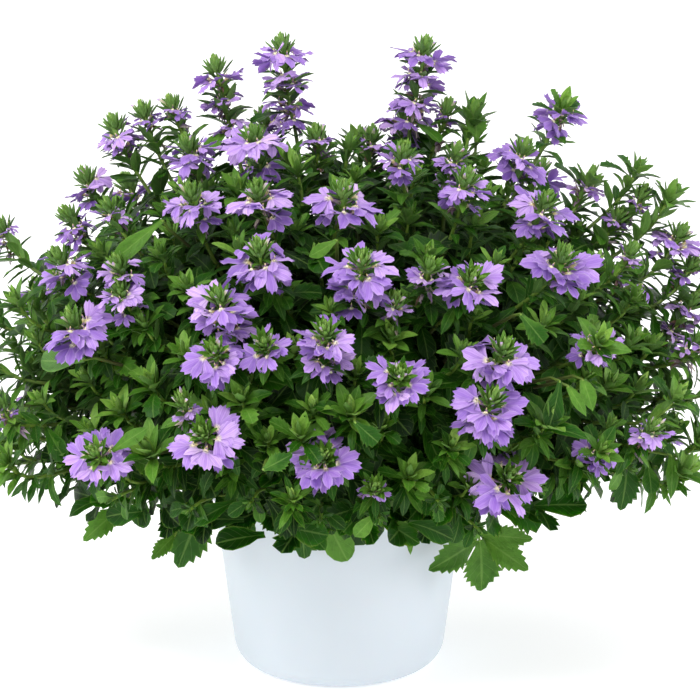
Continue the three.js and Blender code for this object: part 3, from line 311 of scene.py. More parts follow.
class Shoot:
    """One shoot: a curved line from inside the core to a straight end below its tip."""

    def __init__(self, index, place, reach, levels, kind, facing=False, own_body=False):
        self.index = index
        self.place = place
        self.reach = reach
        self.levels = levels
        self.kind = kind
        self.own_body = own_body
        self.leafy = kind == "leafy"
        self.levelling = FACING_LEVELLING if facing else FAN_LEVELLING
        self.axis = tip_axis(place, facing, kind == "hanging")
        self.tip = place + self.axis * (TIP_ABOVE_RING if kind == "head" else 0)
        self.branch = branch_at(self.tip)
        self.start, start_way = self.start_point()
        self.straight = TIP_STRAIGHT + LEVEL_DROP * max(levels - 1, 0)
        bend = self.tip - self.axis * self.straight
        self.span = np.linalg.norm(bend - self.start)
        way = unit(bend - self.start)
        sideways = unit(np.cross(way, UP))
        sway = sideways * self.span * SWAY * vary(index, 0, 31)
        self.handles = [
            self.start,
            self.start + start_way * self.span * START_HANDLE + way * self.span * WAY_HANDLE + sway,
            bend - self.axis * self.span * TIP_HANDLE + sway,
            bend,
        ]
        self.length = self.span + self.straight
        self.first = across_from(self.axis, sideways)
        self.second = np.cross(self.axis, self.first)

    def start_point(self):
        x, y, z = self.tip
        bearing = math.atan2(y, x)
        height = (z - DOME_MIDDLE[2]) / DOME_SIZE[2]
        rise = math.atan2(height, math.hypot(x, y) / dome_radius(bearing)) - START_BELOW
        point = sunk_point(max(rise, LOWEST_START), bearing)
        out = stem_out(self.branch)
        aside = np.cross(out, UP)
        away = point @ aside
        half = math.pi / BRANCHES
        room = math.tan(half) * (point @ out) - WALL_MARGIN / math.cos(half)
        point = point + aside * (min(max(away, -room), room) - away)
        return point, unit(unit(point - DOME_MIDDLE) + UP)

    def below(self, distance):
        """The point of the shoot at a distance below its tip, and the way the shoot runs there."""
        if distance <= self.straight:
            return self.tip - self.axis * distance, self.axis
        share = max(1 - (distance - self.straight) / self.span, 0)
        rest = 1 - share
        one, two, three, four = self.handles
        point = rest ** 3 * one + 3 * rest * rest * share * two + 3 * rest * share * share * three
        point = point + share ** 3 * four
        way = rest * rest * (two - one) + 2 * rest * share * (three - two) + share * share * (four - three)
        return point, unit(way)

    def around(self, angle, way=None):
        """The direction at an angle round the shoot, square to it."""
        direction = turned_to(self.first, self.second, angle)
        return direction if way is None else across_from(way, direction)


def lay_out_shoots():
    shoots = []

    def add(place, reach, levels, kind, facing=False, own_body=False):
        shoots.append(Shoot(len(shoots), place, reach, levels, kind, facing, own_body))

    def add_heads(heads, levels, facing=False):
        for side, height, reach, depth in heads:
            place = place_on_dome(side, height, depth)
            add(place, reach, levels, "head", facing, reach >= OWN_BODY_REACH)
            shoots[-1].leafy = (side, height) in LEAFY_HEADS

    add_heads(TALL_SPIKES, 3)
    add_heads(UPRIGHT_HEADS, 1)
    add_heads(DOUBLE_HEADS, 2)
    add_heads(FACING_HEADS, 1, True)
    for rise, count, first, last, reach in BACK_ROWS:
        for item in range(count):
            shift = BACK_SHIFT * (draw(len(shoots), 0, 1) - 0.5)
            place = place_at_bearing(rise + shift, lerp(first, last, item / (count - 1)) + shift)
            add(place, reach, 1, "head", own_body=item % BACK_OWN_EVERY == 1)
    for side, height, depth in LEAFY_TIPS:
        add(place_on_dome(side, height, depth), 0, 0, "leafy")
    for side, height, depth in HANGING_TIPS:
        add(place_on_dome(side, height, depth), 0, 0, "hanging")
    rise, count, first, last, closeness = BACK_HANGING_ROW
    for item in range(count):
        place = place_at_bearing(rise, lerp(first, last, item / (count - 1)))
        add(place * np.array((closeness, closeness, 1)), 0, 0, "hanging")
    return shoots


def lay_out_young_shoots(shoots):
    """Young shoots on an even spiral over the dome, where no other tip is near."""
    young = []
    for item, (rise, bearing) in enumerate(even_spiral(YOUNG_SHOOTS, YOUNG_LOWEST)):
        place = place_at_bearing(rise, bearing, YOUNG_DEPTH + YOUNG_DEPTH_VARY * draw(item, 1, 32))
        if min(np.linalg.norm(place - shoot.tip) for shoot in shoots + young) > YOUNG_CLEARANCE:
            young.append(Shoot(len(shoots) + len(young), place, 0, 0, "young"))
    return young


# Blades: leaves, bracts and petals as thin closed bodies, many at a time

TONES = 16
NEARLY_ALONG_X = 0.8
TEETH_END = 0.95
TOOTH_CLEARANCE = 0.05
TOOTH_PEAK = 0.62
TOOTH_LEAN = 0.35
WAVES = 2.3
RIB_TOP = 0.25
RIB_UNDER = 1.5
LEAST_CURL = 1e-3


class Outline:
    """The grid of a blade: shares of the length, half widths as shares of the width, and the columns."""

    def __init__(self, stations, columns, teeth=0, first_tooth=0.42, bite=0.14, shoulder=0.0):
        shares = [share for share, half in stations]
        halves = [half for share, half in stations]
        # Each row: share, half width, half width at the rim, and how far the rim leans forward
        rows = [(share, half, half, 0) for share, half in stations[:-1]]
        if teeth:
            rows = [row for row in rows if row[0] < first_tooth - TOOTH_CLEARANCE]
            step = (TEETH_END - first_tooth) / teeth
            for tooth in range(teeth):
                valley = first_tooth + tooth * step
                peak = valley + TOOTH_PEAK * step
                deep = np.interp(valley, shares, halves)
                wide = np.interp(peak, shares, halves)
                rows.append((valley, deep, deep * (1 - bite), 0))
                rows.append((peak, wide, wide * (1 + bite), step * TOOTH_LEAN))
        share, half, rim, shift = rows[-1]
        rows[-1] = (share, half, rim, shift + shoulder)
        count = len(columns)
        last = len(rows) - 1
        # Where the end has side teeth, the notches beside the tip belong to the rim
        notches = {(last, 1), (last, count - 2)} if shoulder else set()
        data = []
        for row, (share, half, rim, shift) in enumerate(rows):
            for place, column in enumerate(columns):
                on_rim = abs(column) == 1
                forward = shift if on_rim else 0
                side = 0 if on_rim or (row, place) in notches or row == 0 else 1
                data.append((share + forward, column, rim if on_rim else half, side))
        tip = len(data)
        data.append((1, 0, 0, 0))
        under = {}
        for row in range(1, len(rows)):
            for column in range(1, count - 1):
                if (row, column) not in notches:
                    under[row, column] = len(data)
                    data.append((rows[row][0], columns[column], rows[row][1], -1))
        self.share, self.column, self.half, self.side = np.array(data, float).T

        def top(row, column):
            return row * count + column

        def bottom(row, column):
            return under.get((row, column), top(row, column))

        quads = []
        for row in range(last):
            for column in range(count - 1):
                after, beside = row + 1, column + 1
                quads.append([top(row, column), top(after, column), top(after, beside), top(row, beside)])
                quads.append([bottom(row, column), bottom(row, beside),
                              bottom(after, beside), bottom(after, column)])
        triangles = []
        for column in range(1, count - 2) if shoulder else range(count - 1):
            triangles.append([top(last, column), tip, top(last, column + 1)])
            triangles.append([bottom(last, column), bottom(last, column + 1), tip])
        self.faces = [np.array(quads), np.array(triangles)]


# Columns from rim to rim, and outlines as shares of the length with the half width there
SLIM = (-1, 0, 1)
WIDE = (-1, -0.5, 0, 0.5, 1)
NARROW_SHAPE = [(0, 0.16), (0.15, 0.3), (0.35, 0.43), (0.58, 0.5), (0.78, 0.4), (0.92, 0.2), (1, 0)]
BRACT_SHAPE = [(0, 0.36), (0.3, 0.5), (0.6, 0.45), (0.85, 0.22), (1, 0)]
LANCE_SHAPE = [(0, 0.2), (0.18, 0.34), (0.42, 0.5), (0.64, 0.44), (0.84, 0.24), (1, 0)]
OVAL_SHAPE = [(0, 0.12), (0.2, 0.2), (0.42, 0.38), (0.62, 0.5), (0.8, 0.44), (0.93, 0.22), (1, 0)]
BROAD_SHAPE = [
    (0, 0.12), (0.2, 0.16), (0.4, 0.34), (0.58, 0.48), (0.75, 0.5), (0.88, 0.38), (0.96, 0.2), (1, 0),
]
RIM_SHAPE = [
    (0, 0.12), (0.12, 0.15), (0.26, 0.34), (0.45, 0.5), (0.62, 0.47), (0.8, 0.28), (0.9, 0.13), (1, 0),
]
PETAL_SHAPE = [(0, 0.17), (0.3, 0.31), (0.6, 0.5), (0.84, 0.38), (0.92, 0.13), (1, 0)]
FRILLED_SHAPE = [(0, 0.17), (0.3, 0.31), (0.58, 0.48), (0.76, 0.47), (0.86, 0.36), (1, 0)]
OUTLINES = {
    "narrow": Outline(NARROW_SHAPE, SLIM),
    "bract": Outline(BRACT_SHAPE, SLIM),
    "lance": Outline(LANCE_SHAPE, SLIM),
    "oval": Outline(OVAL_SHAPE, SLIM),
    "toothed": Outline(BROAD_SHAPE, SLIM, teeth=4),
    "broad": Outline(BROAD_SHAPE, WIDE),
    "rim": Outline(RIM_SHAPE, WIDE, teeth=6, first_tooth=0.3, bite=0.12),
    "petal": Outline(PETAL_SHAPE, WIDE),
    "frilled": Outline(FRILLED_SHAPE, WIDE, shoulder=0.05),
}


def round_tone(tone):
    return round(min(max(tone, 0), 1) * (TONES - 1)) / (TONES - 1)


class Pile:
    """Bodies that become one mesh: points with their values, and faces with their materials and sides."""

    def __init__(self):
        self.points = []
        self.values = []
        self.faces = []
        self.count = 0
        self.blades = {}

    def add(self, points, values, faces, material, has_under=False):
        """Faces come in pairs of an upper and an under one where has_under says so."""
        for group in faces:
            group = np.asarray(group)
            under = np.arange(len(group)) % 2 if has_under else np.zeros(len(group))
            self.faces.append((group + self.count, np.full(len(group), material), under))
        self.points.append(points)
        self.values.append(values)
        self.count += len(points)

    def blade(self, outline, material, root, along, up, length, width, curl=0.0, fold=0.0,
              wave=0.0, roll=0.0, thickness=0.35, tone=0.5, phase=0.0):
        row = (*root, *along, *up, length, width, curl, fold, wave, roll, thickness, round_tone(tone), phase)
        self.blades.setdefault((outline, material), []).append(row)

    def finish_blades(self):
        for (name, material), rows in self.blades.items():
            points, values = shaped(OUTLINES[name], np.array(rows))
            number, size = points.shape[:2]
            step = (np.arange(number) * size)[:, None, None]
            faces = [(group[None] + step).reshape(-1, group.shape[1]) for group in OUTLINES[name].faces]
            self.add(points.reshape(-1, 3), values.reshape(-1, 3), faces, material, True)


def normalised(vectors):
    return vectors / np.linalg.norm(vectors, axis=-1, keepdims=True)


def shaped(outline, table):
    """The points of all blades of one outline: bent along, folded, waved and rolled."""
    root = table[:, 0:3]
    along = normalised(table[:, 3:6])
    across = normalised(np.cross(table[:, 6:9], along))
    normal = np.cross(along, across)
    length, width, curl, fold, wave, roll, thickness, tone, phase = (
        table[:, column][:, None] for column in range(9, 18)
    )
    curl = np.where(np.abs(curl) < LEAST_CURL, LEAST_CURL, curl)
    share, column, half = outline.share[None], outline.column[None], outline.half[None]
    angle = curl * share
    ahead = length * np.sin(angle) / curl
    down = -length * (1 - np.cos(angle)) / curl
    turn = roll * share
    cos_angle, sin_angle = np.cos(angle)[..., None], np.sin(angle)[..., None]
    cos_turn, sin_turn = np.cos(turn)[..., None], np.sin(turn)[..., None]
    level = normal[:, None] * cos_angle + along[:, None] * sin_angle
    side = across[:, None] * cos_turn + level * sin_turn
    level = level * cos_turn - across[:, None] * sin_turn
    offset = width * half * column
    rib = np.where(outline.column == 0, np.where(outline.side < 0, RIB_UNDER, RIB_TOP), 1)
    lift = fold * np.abs(offset) + thickness / 2 * (outline.side * rib)[None]
    lift = lift + wave * width * half * column ** 2 * np.sin(
        FULL_TURN * WAVES * share + phase * FULL_TURN + column * 2,
    )
    points = (
        root[:, None] + along[:, None] * ahead[..., None] + normal[:, None] * down[..., None]
        + side * offset[..., None] + level * lift[..., None]
    )
    return points, np.stack(np.broadcast_arrays(share, (column + 1) / 2, tone), axis=-1)


def ring_faces(rows, sides):
    """The four-cornered faces between rings of points that follow each other."""
    faces = []
    for low in range(0, (rows - 1) * sides, sides):
        for side in range(sides):
            after = (side + 1) % sides
            faces.append([low + side, low + after, low + sides + after, low + sides + side])
    return faces


def tube(pile, material, points, radii, sides, tone):
    """A closed round bar along points, with its own radius at each."""
    points = np.array(points)
    ways = normalised(np.gradient(points, axis=0))
    helper = np.array((1.0, 0, 0)) if abs(ways[0][0]) < NEARLY_ALONG_X else np.array((0, 1.0, 0))
    first = normalised(helper - ways * (ways @ helper)[:, None])
    second = np.cross(ways, first)
    angles = np.arange(sides) / sides * FULL_TURN
    ring = first[:, None] * np.cos(angles)[None, :, None] + second[:, None] * np.sin(angles)[None, :, None]
    skin = points[:, None] + ring * np.array(radii)[:, None, None]
    values = np.empty((len(points), sides, 3))
    values[..., 0] = np.linspace(0, 1, len(points))[:, None]
    values[..., 1] = 1 - np.abs(2 * np.arange(sides) / sides - 1)
    values[..., 2] = round_tone(tone)
    last = (len(points) - 1) * sides
    caps = [[0, side + 1, side] for side in range(1, sides - 1)]
    caps += [[last, last + side, last + side + 1] for side in range(1, sides - 1)]
    faces = [ring_faces(len(points), sides), caps]
    pile.add(skin.reshape(-1, 3), values.reshape(-1, 3), faces, material)


# Materials

LEAF, STEM = 0, 1
PETAL, THROAT, WILTED = 0, 1, 2
TONE_STEP = 40


def linear(red, green, blue):
    """A colour as it looks on a screen, 0 to 255, as the linear colour that shaders take."""
    parts = [channel / 255 for channel in (red, green, blue)]
    parts = [part / 12.92 if part <= 0.04045 else ((part + 0.055) / 1.055) ** 2.4 for part in parts]
    return (*parts, 1)


class Nodes:
    """Short calls that add and join the nodes of one material. Colours are given as on a screen."""

    def __init__(self, name):
        self.material = bpy.data.materials.new(name)
        self.material.use_nodes = True
        self.tree = self.material.node_tree
        self.shader = self.tree.nodes["Principled BSDF"]

    def node(self, kind, settings, values):
        """A new node, with its settings and the value or other node's output for each of its inputs."""
        node = self.tree.nodes.new(kind)
        for name, setting in settings.items():
            setattr(node, name, setting)
        for name, value in values.items():
            self.put(node.inputs[name], value)
        return node

    def put(self, socket, value):
        if isinstance(value, bpy.types.NodeSocket):
            self.tree.links.new(value, socket)
        else:
            socket.default_value = value

    def math(self, operation, *values):
        return self.node("ShaderNodeMath", {"operation": operation}, dict(enumerate(values))).outputs[0]

    def plus(self, first, second):
        return self.math("ADD", first, second)

    def times(self, first, second):
        return self.math("MULTIPLY", first, second)

    def off(self, value, middle, amount):
        """How far a value is off a middle, times an amount."""
        return self.times(self.math("SUBTRACT", value, middle), amount)

    def saw(self, value):
        """0 halfway between whole numbers, 0.5 at them."""
        return self.math("ABSOLUTE", self.math("SUBTRACT", self.math("FRACT", value), 0.5))

    def step(self, value, low, high, start=0.0, end=1.0):
        """A smooth step from start to end while a value goes from low to high."""
        values = dict(enumerate((value, low, high, start, end)))
        return self.node("ShaderNodeMapRange", {"interpolation_type": "SMOOTHSTEP"}, values).outputs[0]

    def mix(self, share, first, second):
        """A share of the second colour over the first."""
        return self.node("ShaderNodeMix", {"data_type": "RGBA"}, {0: share, 6: first, 7: second}).outputs[2]

    def paint(self, share, under, *colour):
        return self.mix(share, under, linear(*colour))

    def ramp(self, share, *stops):
        """Colours along a share: each stop is a position and a colour."""
        node = self.node("ShaderNodeValToRGB", {}, {"Fac": share})
        node.color_ramp.interpolation = "EASE"
        elements = node.color_ramp.elements
        while len(elements) < len(stops):
            elements.new(0.5)
        for element, (position, *colour) in zip(elements, stops):
            element.position = position
            element.color = linear(*colour)
        return node.outputs["Color"]

    def noise(self, scale, detail, roughness=0.5, stretch=(1, 1, 1)):
        """Noise laid out on the object."""
        place = self.node("ShaderNodeTexCoord", {}, {}).outputs["Object"]
        return self.mapped_noise(place, stretch, scale, detail, roughness)

    def mapped_noise(self, place, stretch, scale, detail, roughness):
        place = self.node("ShaderNodeMapping", {}, {"Vector": place, "Scale": stretch}).outputs[0]
        values = {"Vector": place, "Scale": scale, "Detail": detail, "Roughness": roughness}
        return self.node("ShaderNodeTexNoise", {}, values).outputs["Fac"]

    def attribute(self, name, output):
        return self.node("ShaderNodeAttribute", {"attribute_name": name}, {}).outputs[output]

    def finish(self, bump, distance, strength=1.0, **inputs):
        """The material, with a height for its bump and what the shader's inputs get."""
        values = {"Height": bump, "Distance": distance, "Strength": strength}
        self.put(self.shader.inputs["Normal"], self.node("ShaderNodeBump", {}, values).outputs[0])
        return self.finish_flat(**inputs)

    def finish_flat(self, **inputs):
        for name, value in inputs.items():
            self.put(self.shader.inputs[name.replace("_", " ")], value)
        return self.material


class BladeNodes(Nodes):
    """Nodes that know a point's share of its blade's length, distance from the rib, tone and side."""

    def __init__(self, name):
        super().__init__(name)
        self.place = self.attribute("blade", "Vector")
        self.share, across, self.tone = self.node("ShaderNodeSeparateXYZ", {}, {"Vector": self.place}).outputs
        self.away = self.math("ABSOLUTE", self.math("SUBTRACT", self.times(across, 2.0), 1.0))
        self.under = self.attribute("under", "Fac")

    def blade_noise(self, along, across, detail, roughness=0.5):
        """Noise laid out on the blade itself, and different for each tone."""
        return self.mapped_noise(self.place, (along, across, TONE_STEP), 1.0, detail, roughness)


def leaf_material():
    nodes = BladeNodes("leaf")
    mottle = nodes.blade_noise(9, 5, 4, 0.6)
    cloud = nodes.blade_noise(2.2, 1.6, 2)
    tone = nodes.plus(nodes.tone, nodes.off(cloud, 0.5, 0.3))
    tone = nodes.plus(tone, nodes.off(0.45, nodes.share, 0.14))
    colour = nodes.ramp(
        tone, (0, 5, 34, 0), (0.3, 32, 79, 7), (0.55, 82, 128, 40), (0.8, 128, 172, 68), (1, 176, 212, 104),
    )
    colour = nodes.paint(nodes.step(mottle, 0.4, 0.75, 0, 0.35), colour, 24, 54, 6)
    # Side veins leave the rib at a slant
    veins = nodes.step(nodes.saw(nodes.off(nodes.share, nodes.times(nodes.away, 0.3), 6)), 0.08, 0)
    rib = nodes.step(nodes.away, 0.11, 0.02)
    pale = nodes.math("MAXIMUM", nodes.times(veins, 0.12), nodes.times(rib, 0.3))
    colour = nodes.paint(pale, colour, 132, 168, 84)
    colour = nodes.paint(nodes.step(nodes.away, 0.84, 1, 0, 0.2), colour, 112, 150, 66)
    underside = nodes.paint(pale, linear(106, 138, 80), 150, 174, 112)
    colour = nodes.mix(nodes.times(nodes.under, 0.45), colour, underside)
    return nodes.finish(
        nodes.plus(nodes.times(veins, -0.5), nodes.times(mottle, 0.7)), 0.0004, 0.6, Base_Color=colour,
        Roughness=nodes.step(mottle, 0.2, 0.8, 0.34, 0.52), Specular_IOR_Level=0.17,
        Subsurface_Weight=0.1, Subsurface_Radius=(0.5, 1, 0.2), Subsurface_Scale=0.002,
    )


def stem_material():
    nodes = BladeNodes("stem")
    colour = nodes.ramp(nodes.share, (0, 50, 56, 24), (0.5, 88, 118, 36), (1, 126, 164, 58))
    streaks = nodes.blade_noise(5, 9, 3)
    colour = nodes.paint(nodes.step(streaks, 0.45, 0.8, 0, 0.5), colour, 88, 66, 40)
    return nodes.finish(
        streaks, 0.0003, 0.6, Base_Color=colour, Roughness=0.55, Subsurface_Weight=0.08,
        Subsurface_Scale=0.002,
    )


def petal_material():
    nodes = BladeNodes("petal")
    cloud = nodes.blade_noise(2.4, 2, 3)
    depth = nodes.plus(nodes.tone, nodes.off(cloud, 0.5, 0.4))
    colour = nodes.ramp(
        depth, (0, 108, 76, 156), (0.4, 163, 124, 211), (0.75, 200, 161, 236), (1, 228, 192, 248),
    )
    veins = nodes.step(nodes.saw(nodes.times(nodes.away, 3)), 0.14, 0, 0, 0.45)
    colour = nodes.paint(veins, colour, 112, 66, 178)
    colour = nodes.paint(nodes.step(nodes.away, 0.3, 0.1, 0, 0.3), colour, 130, 80, 194)
    colour = nodes.paint(nodes.step(nodes.away, 0.7, 1, 0, 0.35), colour, 222, 190, 244)
    colour = nodes.paint(nodes.step(nodes.share, 0.2, 0.04, 0, 0.85), colour, 248, 236, 214)
    colour = nodes.paint(nodes.times(nodes.under, 0.5), colour, 128, 96, 184)
    return nodes.finish(
        nodes.plus(nodes.times(veins, -1), cloud), 0.0003, 0.6, Base_Color=colour, Roughness=0.6,
        Subsurface_Weight=0.15, Subsurface_Radius=(0.8, 0.5, 1), Subsurface_Scale=0.003, Sheen_Weight=0.1,
    )


def throat_material():
    """The yellow throats of the fans, and the buds, which have a tone of their own."""
    nodes = BladeNodes("throat")
    colour = nodes.ramp(
        nodes.share, (0, 112, 132, 60), (0.5, 150, 116, 160), (0.8, 232, 214, 150), (1, 250, 240, 200),
    )
    specks = nodes.step(nodes.blade_noise(12, 8, 2), 0.55, 0.7, 0, 0.3)
    colour = nodes.paint(specks, colour, 168, 120, 70)
    bud = nodes.ramp(nodes.share, (0, 150, 176, 90), (0.6, 204, 200, 170), (1, 190, 160, 226))
    return nodes.finish_flat(
        Base_Color=nodes.mix(nodes.step(nodes.tone, 0.7, 0.8), colour, bud), Roughness=0.55,
        Subsurface_Weight=0.15, Subsurface_Scale=0.002,
    )


def wilted_material():
    nodes = BladeNodes("wilted")
    colour = nodes.ramp(nodes.tone, (0, 112, 84, 62), (0.5, 132, 110, 158), (1, 204, 190, 178))
    patches = nodes.blade_noise(7, 5, 4, 0.6)
    colour = nodes.paint(nodes.step(patches, 0.45, 0.7, 0, 0.7), colour, 124, 100, 72)
    return nodes.finish(patches, 0.0005, Base_Color=colour, Roughness=0.8)


def inside_shade_material():
    # Painted shade: near black greens that stand in for the shade deep inside the bush.
    nodes = Nodes("inside")
    clumps = nodes.noise(120, 5, 0.65)
    colour = nodes.ramp(clumps, (0.3, 6, 20, 2), (0.55, 16, 38, 5), (0.75, 34, 62, 10))
    return nodes.finish(clumps, 0.003, Base_Color=colour, Roughness=0.8, Specular_IOR_Level=0.1)


def pot_material():
    nodes = Nodes("moulded_plastic")
    cloud = nodes.noise(9, 3)
    rings = nodes.noise(60, 3, 0.5, (0.02, 0.02, 1))
    colour = nodes.ramp(cloud, (0.3, 196, 205, 213), (0.7, 202, 210, 218))
    scuffs = nodes.step(nodes.noise(300, 5, 0.7, (1, 1, 3)), 0.66, 0.8, 0, 0.35)
    return nodes.finish(
        nodes.plus(nodes.times(nodes.noise(1400, 2), 0.3), rings), 0.0001, 0.5,
        Base_Color=nodes.paint(scuffs, colour, 185, 196, 206),
        Roughness=nodes.step(cloud, 0.3, 0.7, 0.42, 0.52), Specular_IOR_Level=0.5,
        Subsurface_Weight=0.06, Subsurface_Scale=0.004,
    )


def soil_material():
    nodes = Nodes("peat")
    crumbs = nodes.noise(260, 6, 0.7)
    colour = nodes.ramp(crumbs, (0.3, 26, 18, 12), (0.55, 54, 38, 27), (0.72, 84, 62, 44))
    fibres = nodes.step(nodes.noise(900, 2), 0.66, 0.72)
    return nodes.finish(
        crumbs, 0.002, Base_Color=nodes.paint(fibres, colour, 150, 132, 104), Roughness=0.95,
    )


# Flowers
# A pair is the two ends of what is drawn, or its middle and swing where the name ends in about.
# Three values are the ends from the first to the last item, and a swing. A bend is the power of that share.

RING = Form(
    large_fans=6, large_reach=19, fans=5, small_reach=13, small_fans=4, jitter=0.3, lower_share=0.88,
    lift=(-6, 2), tilt=(-0.45, 0.5), size_about=(1, 0.08), tone=(0.25, 0.85),
)
OLD_FAN = Form(
    number=2, least_reach=15, first_item=50, jitter=0.2, drop=(9, 15), tilt=(0.1, 0.9), size=0.85, tone=0.2,
)
FAN = Form(
    petals=5, spread=1.38, spread_about=(1, 0.1), roll=0.5, throat_share=0.35, mouth_ahead=0.5, mouth_up=0.3,
)
PETAL_FORM = Form(
    turn=0.07, pitch=0.22, bank=0.35, middle_length=1.05, side_loss=0.14, length_about=(1, 0.08),
    frilled_share=0.6, width=0.45, width_about=(1, 0.14), curl_about=(0.3, 0.65), fold_about=(0.14, 0.2),
    wave=0.2, roll=0.4, thickness=0.4, tone_swing=0.16,
)
THROAT_FORM = Form(drop=3, bend_share=0.55, bend_drop=0.5, radii=(0.6, 0.85, 1.25), tone=0.5)
STYLE = Form(sunk=0.8, lean=0.5, length=3.6, width=1.1, curl=-1.3, thickness=0.6)
DRIED = Form(
    flowers=4, strands=3, drop=(5, 19), rise=0.5, sag=0.2, spread_up=0.5, spread_aside=0.4,
    length=(5, 10), width=1.9, curl_about=(0.6, 1.4), fold=0.8, wave=0.5, roll=1.2,
)
TUBE_SIDES = 6


def add_fan(pile, shoot, place, middle, reach, tilt, item, tone):
    """One half-round flower: a throat tube, five petals that spread from its mouth, and a bent style."""
    index = shoot.index
    axis = shoot.axis
    out = shoot.around(middle)
    side = np.cross(axis, out)
    tilt += shoot.levelling * math.asin(out[2])
    ahead = turned_to(out, -axis, tilt)
    normal = turned_to(axis, out, tilt)
    roll = FAN.roll * vary(index, item, 40)
    side, normal = turned_to(side, normal, roll), turned_to(normal, -side, roll)
    throat = place + out * reach * FAN.throat_share
    length = reach * (1 - FAN.throat_share)
    spread = FAN.spread * about(FAN.spread_about, index, item, 41)
    form = PETAL_FORM
    for petal in range(FAN.petals):
        key = item * DRAWS_APART + petal
        share = petal / (FAN.petals - 1) * 2 - 1
        flat = turned_to(ahead, side, share * spread + form.turn * vary(index, key, 44))
        along = turned_to(flat, normal, form.pitch * vary(index, key, 45))
        banked = normal + form.bank * vary(index, key, 46) * np.cross(normal, along)
        size = length * (form.middle_length - form.side_loss * abs(share))
        size *= about(form.length_about, index, key, 47)
        pile.blade(
            "frilled" if draw(index, key, 39) < form.frilled_share else "petal",
            PETAL, throat, along, across_from(along, banked), size,
            size * form.width * about(form.width_about, index, key, 48),
            about(form.curl_about, index, key, 49), about(form.fold_about, index, key, 50),
            form.wave, form.roll * vary(index, key, 51), form.thickness,
            tone + form.tone_swing * vary(index, key, 52), draw(index, key, 53),
        )
    mouth = throat + normal * FAN.mouth_up + ahead * FAN.mouth_ahead
    base = place + out * TIP_RADIUS - axis * THROAT_FORM.drop
    bend = lerp(base, mouth, THROAT_FORM.bend_share) - axis * THROAT_FORM.bend_drop
    tube(pile, THROAT, [base, bend, mouth], THROAT_FORM.radii, TUBE_SIDES, THROAT_FORM.tone)
    pile.blade(
        "bract", THROAT, mouth - ahead * STYLE.sunk, unit(normal + ahead * STYLE.lean), -ahead,
        STYLE.length, STYLE.width, STYLE.curl, thickness=STYLE.thickness,
    )


def add_ring(pile, shoot, level):
    """A ring of fans, with a few older fans and dried flowers below it."""
    index = shoot.index
    centre = shoot.place - shoot.axis * level * LEVEL_DROP
    reach = shoot.reach * (1 if level == 0 else RING.lower_share)
    count = RING.fans if shoot.reach >= RING.small_reach else RING.small_fans
    if shoot.reach >= RING.large_reach:
        count = RING.large_fans
    start = draw(index, level, 2)
    for fan in range(count):
        item = level * DRAWS_APART + fan
        middle = (start + (fan + RING.jitter * vary(index, item, 54)) / count) * FULL_TURN
        place = centre + shoot.axis * between(RING.lift, index, item, 55)
        size = reach * about(RING.size_about, index, item, 56)
        tilt = between(RING.tilt, index, item, 42)
        add_fan(pile, shoot, place, middle, size, tilt, item, between(RING.tone, index, item, 43))
    if level == shoot.levels - 1 and shoot.reach >= OLD_FAN.least_reach:
        for fan in range(OLD_FAN.number):
            item = OLD_FAN.first_item + fan
            turns = draw(index, 0, 57) + fan / OLD_FAN.number + OLD_FAN.jitter * vary(index, item, 57)
            place = centre - shoot.axis * between(OLD_FAN.drop, index, item, 55)
            tilt = between(OLD_FAN.tilt, index, item, 42)
            add_fan(pile, shoot, place, FULL_TURN * turns, reach * OLD_FAN.size, tilt, item, OLD_FAN.tone)
    add_dried_flowers(pile, shoot, centre, level)


def add_dried_flowers(pile, shoot, centre, level):
    index = shoot.index
    axis = shoot.axis
    for item in range(DRIED.flowers):
        key = level * DRAWS_APART + item
        out = shoot.around(FULL_TURN * draw(index, key, 57))
        root = centre - axis * between(DRIED.drop, index, key, 56) + out * TIP_RADIUS
        way = unit(out + axis * DRIED.rise * vary(index, key, 58) - UP * DRIED.sag)
        for strand in range(DRIED.strands):
            spray = key * DRAWS_APART + strand
            upwards = DRIED.spread_up * vary(index, spray, 59) * axis
            aside = DRIED.spread_aside * vary(index, spray, 60) * np.cross(way, axis)
            pile.blade(
                "bract", WILTED, root, unit(way + upwards + aside), axis,
                between(DRIED.length, index, spray, 61), DRIED.width,
                about(DRIED.curl_about, index, spray, 62), DRIED.fold, DRIED.wave,
                DRIED.roll * vary(index, spray, 64), tone=draw(index, spray, 63),
            )


# Greenery, with values as above

TUFT = Form(
    bracts=32, least_size=0.8, growth=0.012, tilt=(0.04, 0.75, 0.14), tilt_bend=1.3,
    width=3.6, width_bend=0.6, height=(1.5, -3.5), length=(7.4, 9.4), length_bend=0.6,
    length_about=(1, 0.14), slimness=(0.3, 0.38), curl=(-0.6, 0.15, 0.25), fold=0.4,
    thickness=0.6, tone=(1, 0.5, 0.12), tone_bend=0.8,
)
BUD = Form(
    most=4, turn=2.2, turn_swing=2, lean=(0.35, 0.9), out=2, length=(6, 9), width=2.5, thickness=2, tone=1,
)
ROSETTE = Form(
    bracts=16, slim_share=0.3, size_swing=0.2, tilt=(0.1, 1.05, 0.2), out=(0.2, 1.2), drop=6,
    bract_share=0.4, outer_share=0.75, toothed_share=0.4, up_out=0.6, length=(8, 18), length_bend=0.8,
    length_about=(1, 0.2), first_width=0.36, slim_width=0.3, wide_width=0.46, width_about=(1, 0.12),
    curl=(-0.5, 0.8, 0.3), fold=0.32, wave=0.1, roll=0.4, thickness=0.5,
    tone=(0.88, 0.4, 0.2),
)
ROSETTE_SIZES = {"head": 1.05, "hanging": 0.42, "leafy": 1.15, "young": 0.95}
# Painted shade: the rosettes of shoots that hang under the bush lose this much tone.
HANGING_SHADE = 0.3
FIRST_LEAF = {"head": 5, "hanging": 6, "leafy": 5, "young": 5}
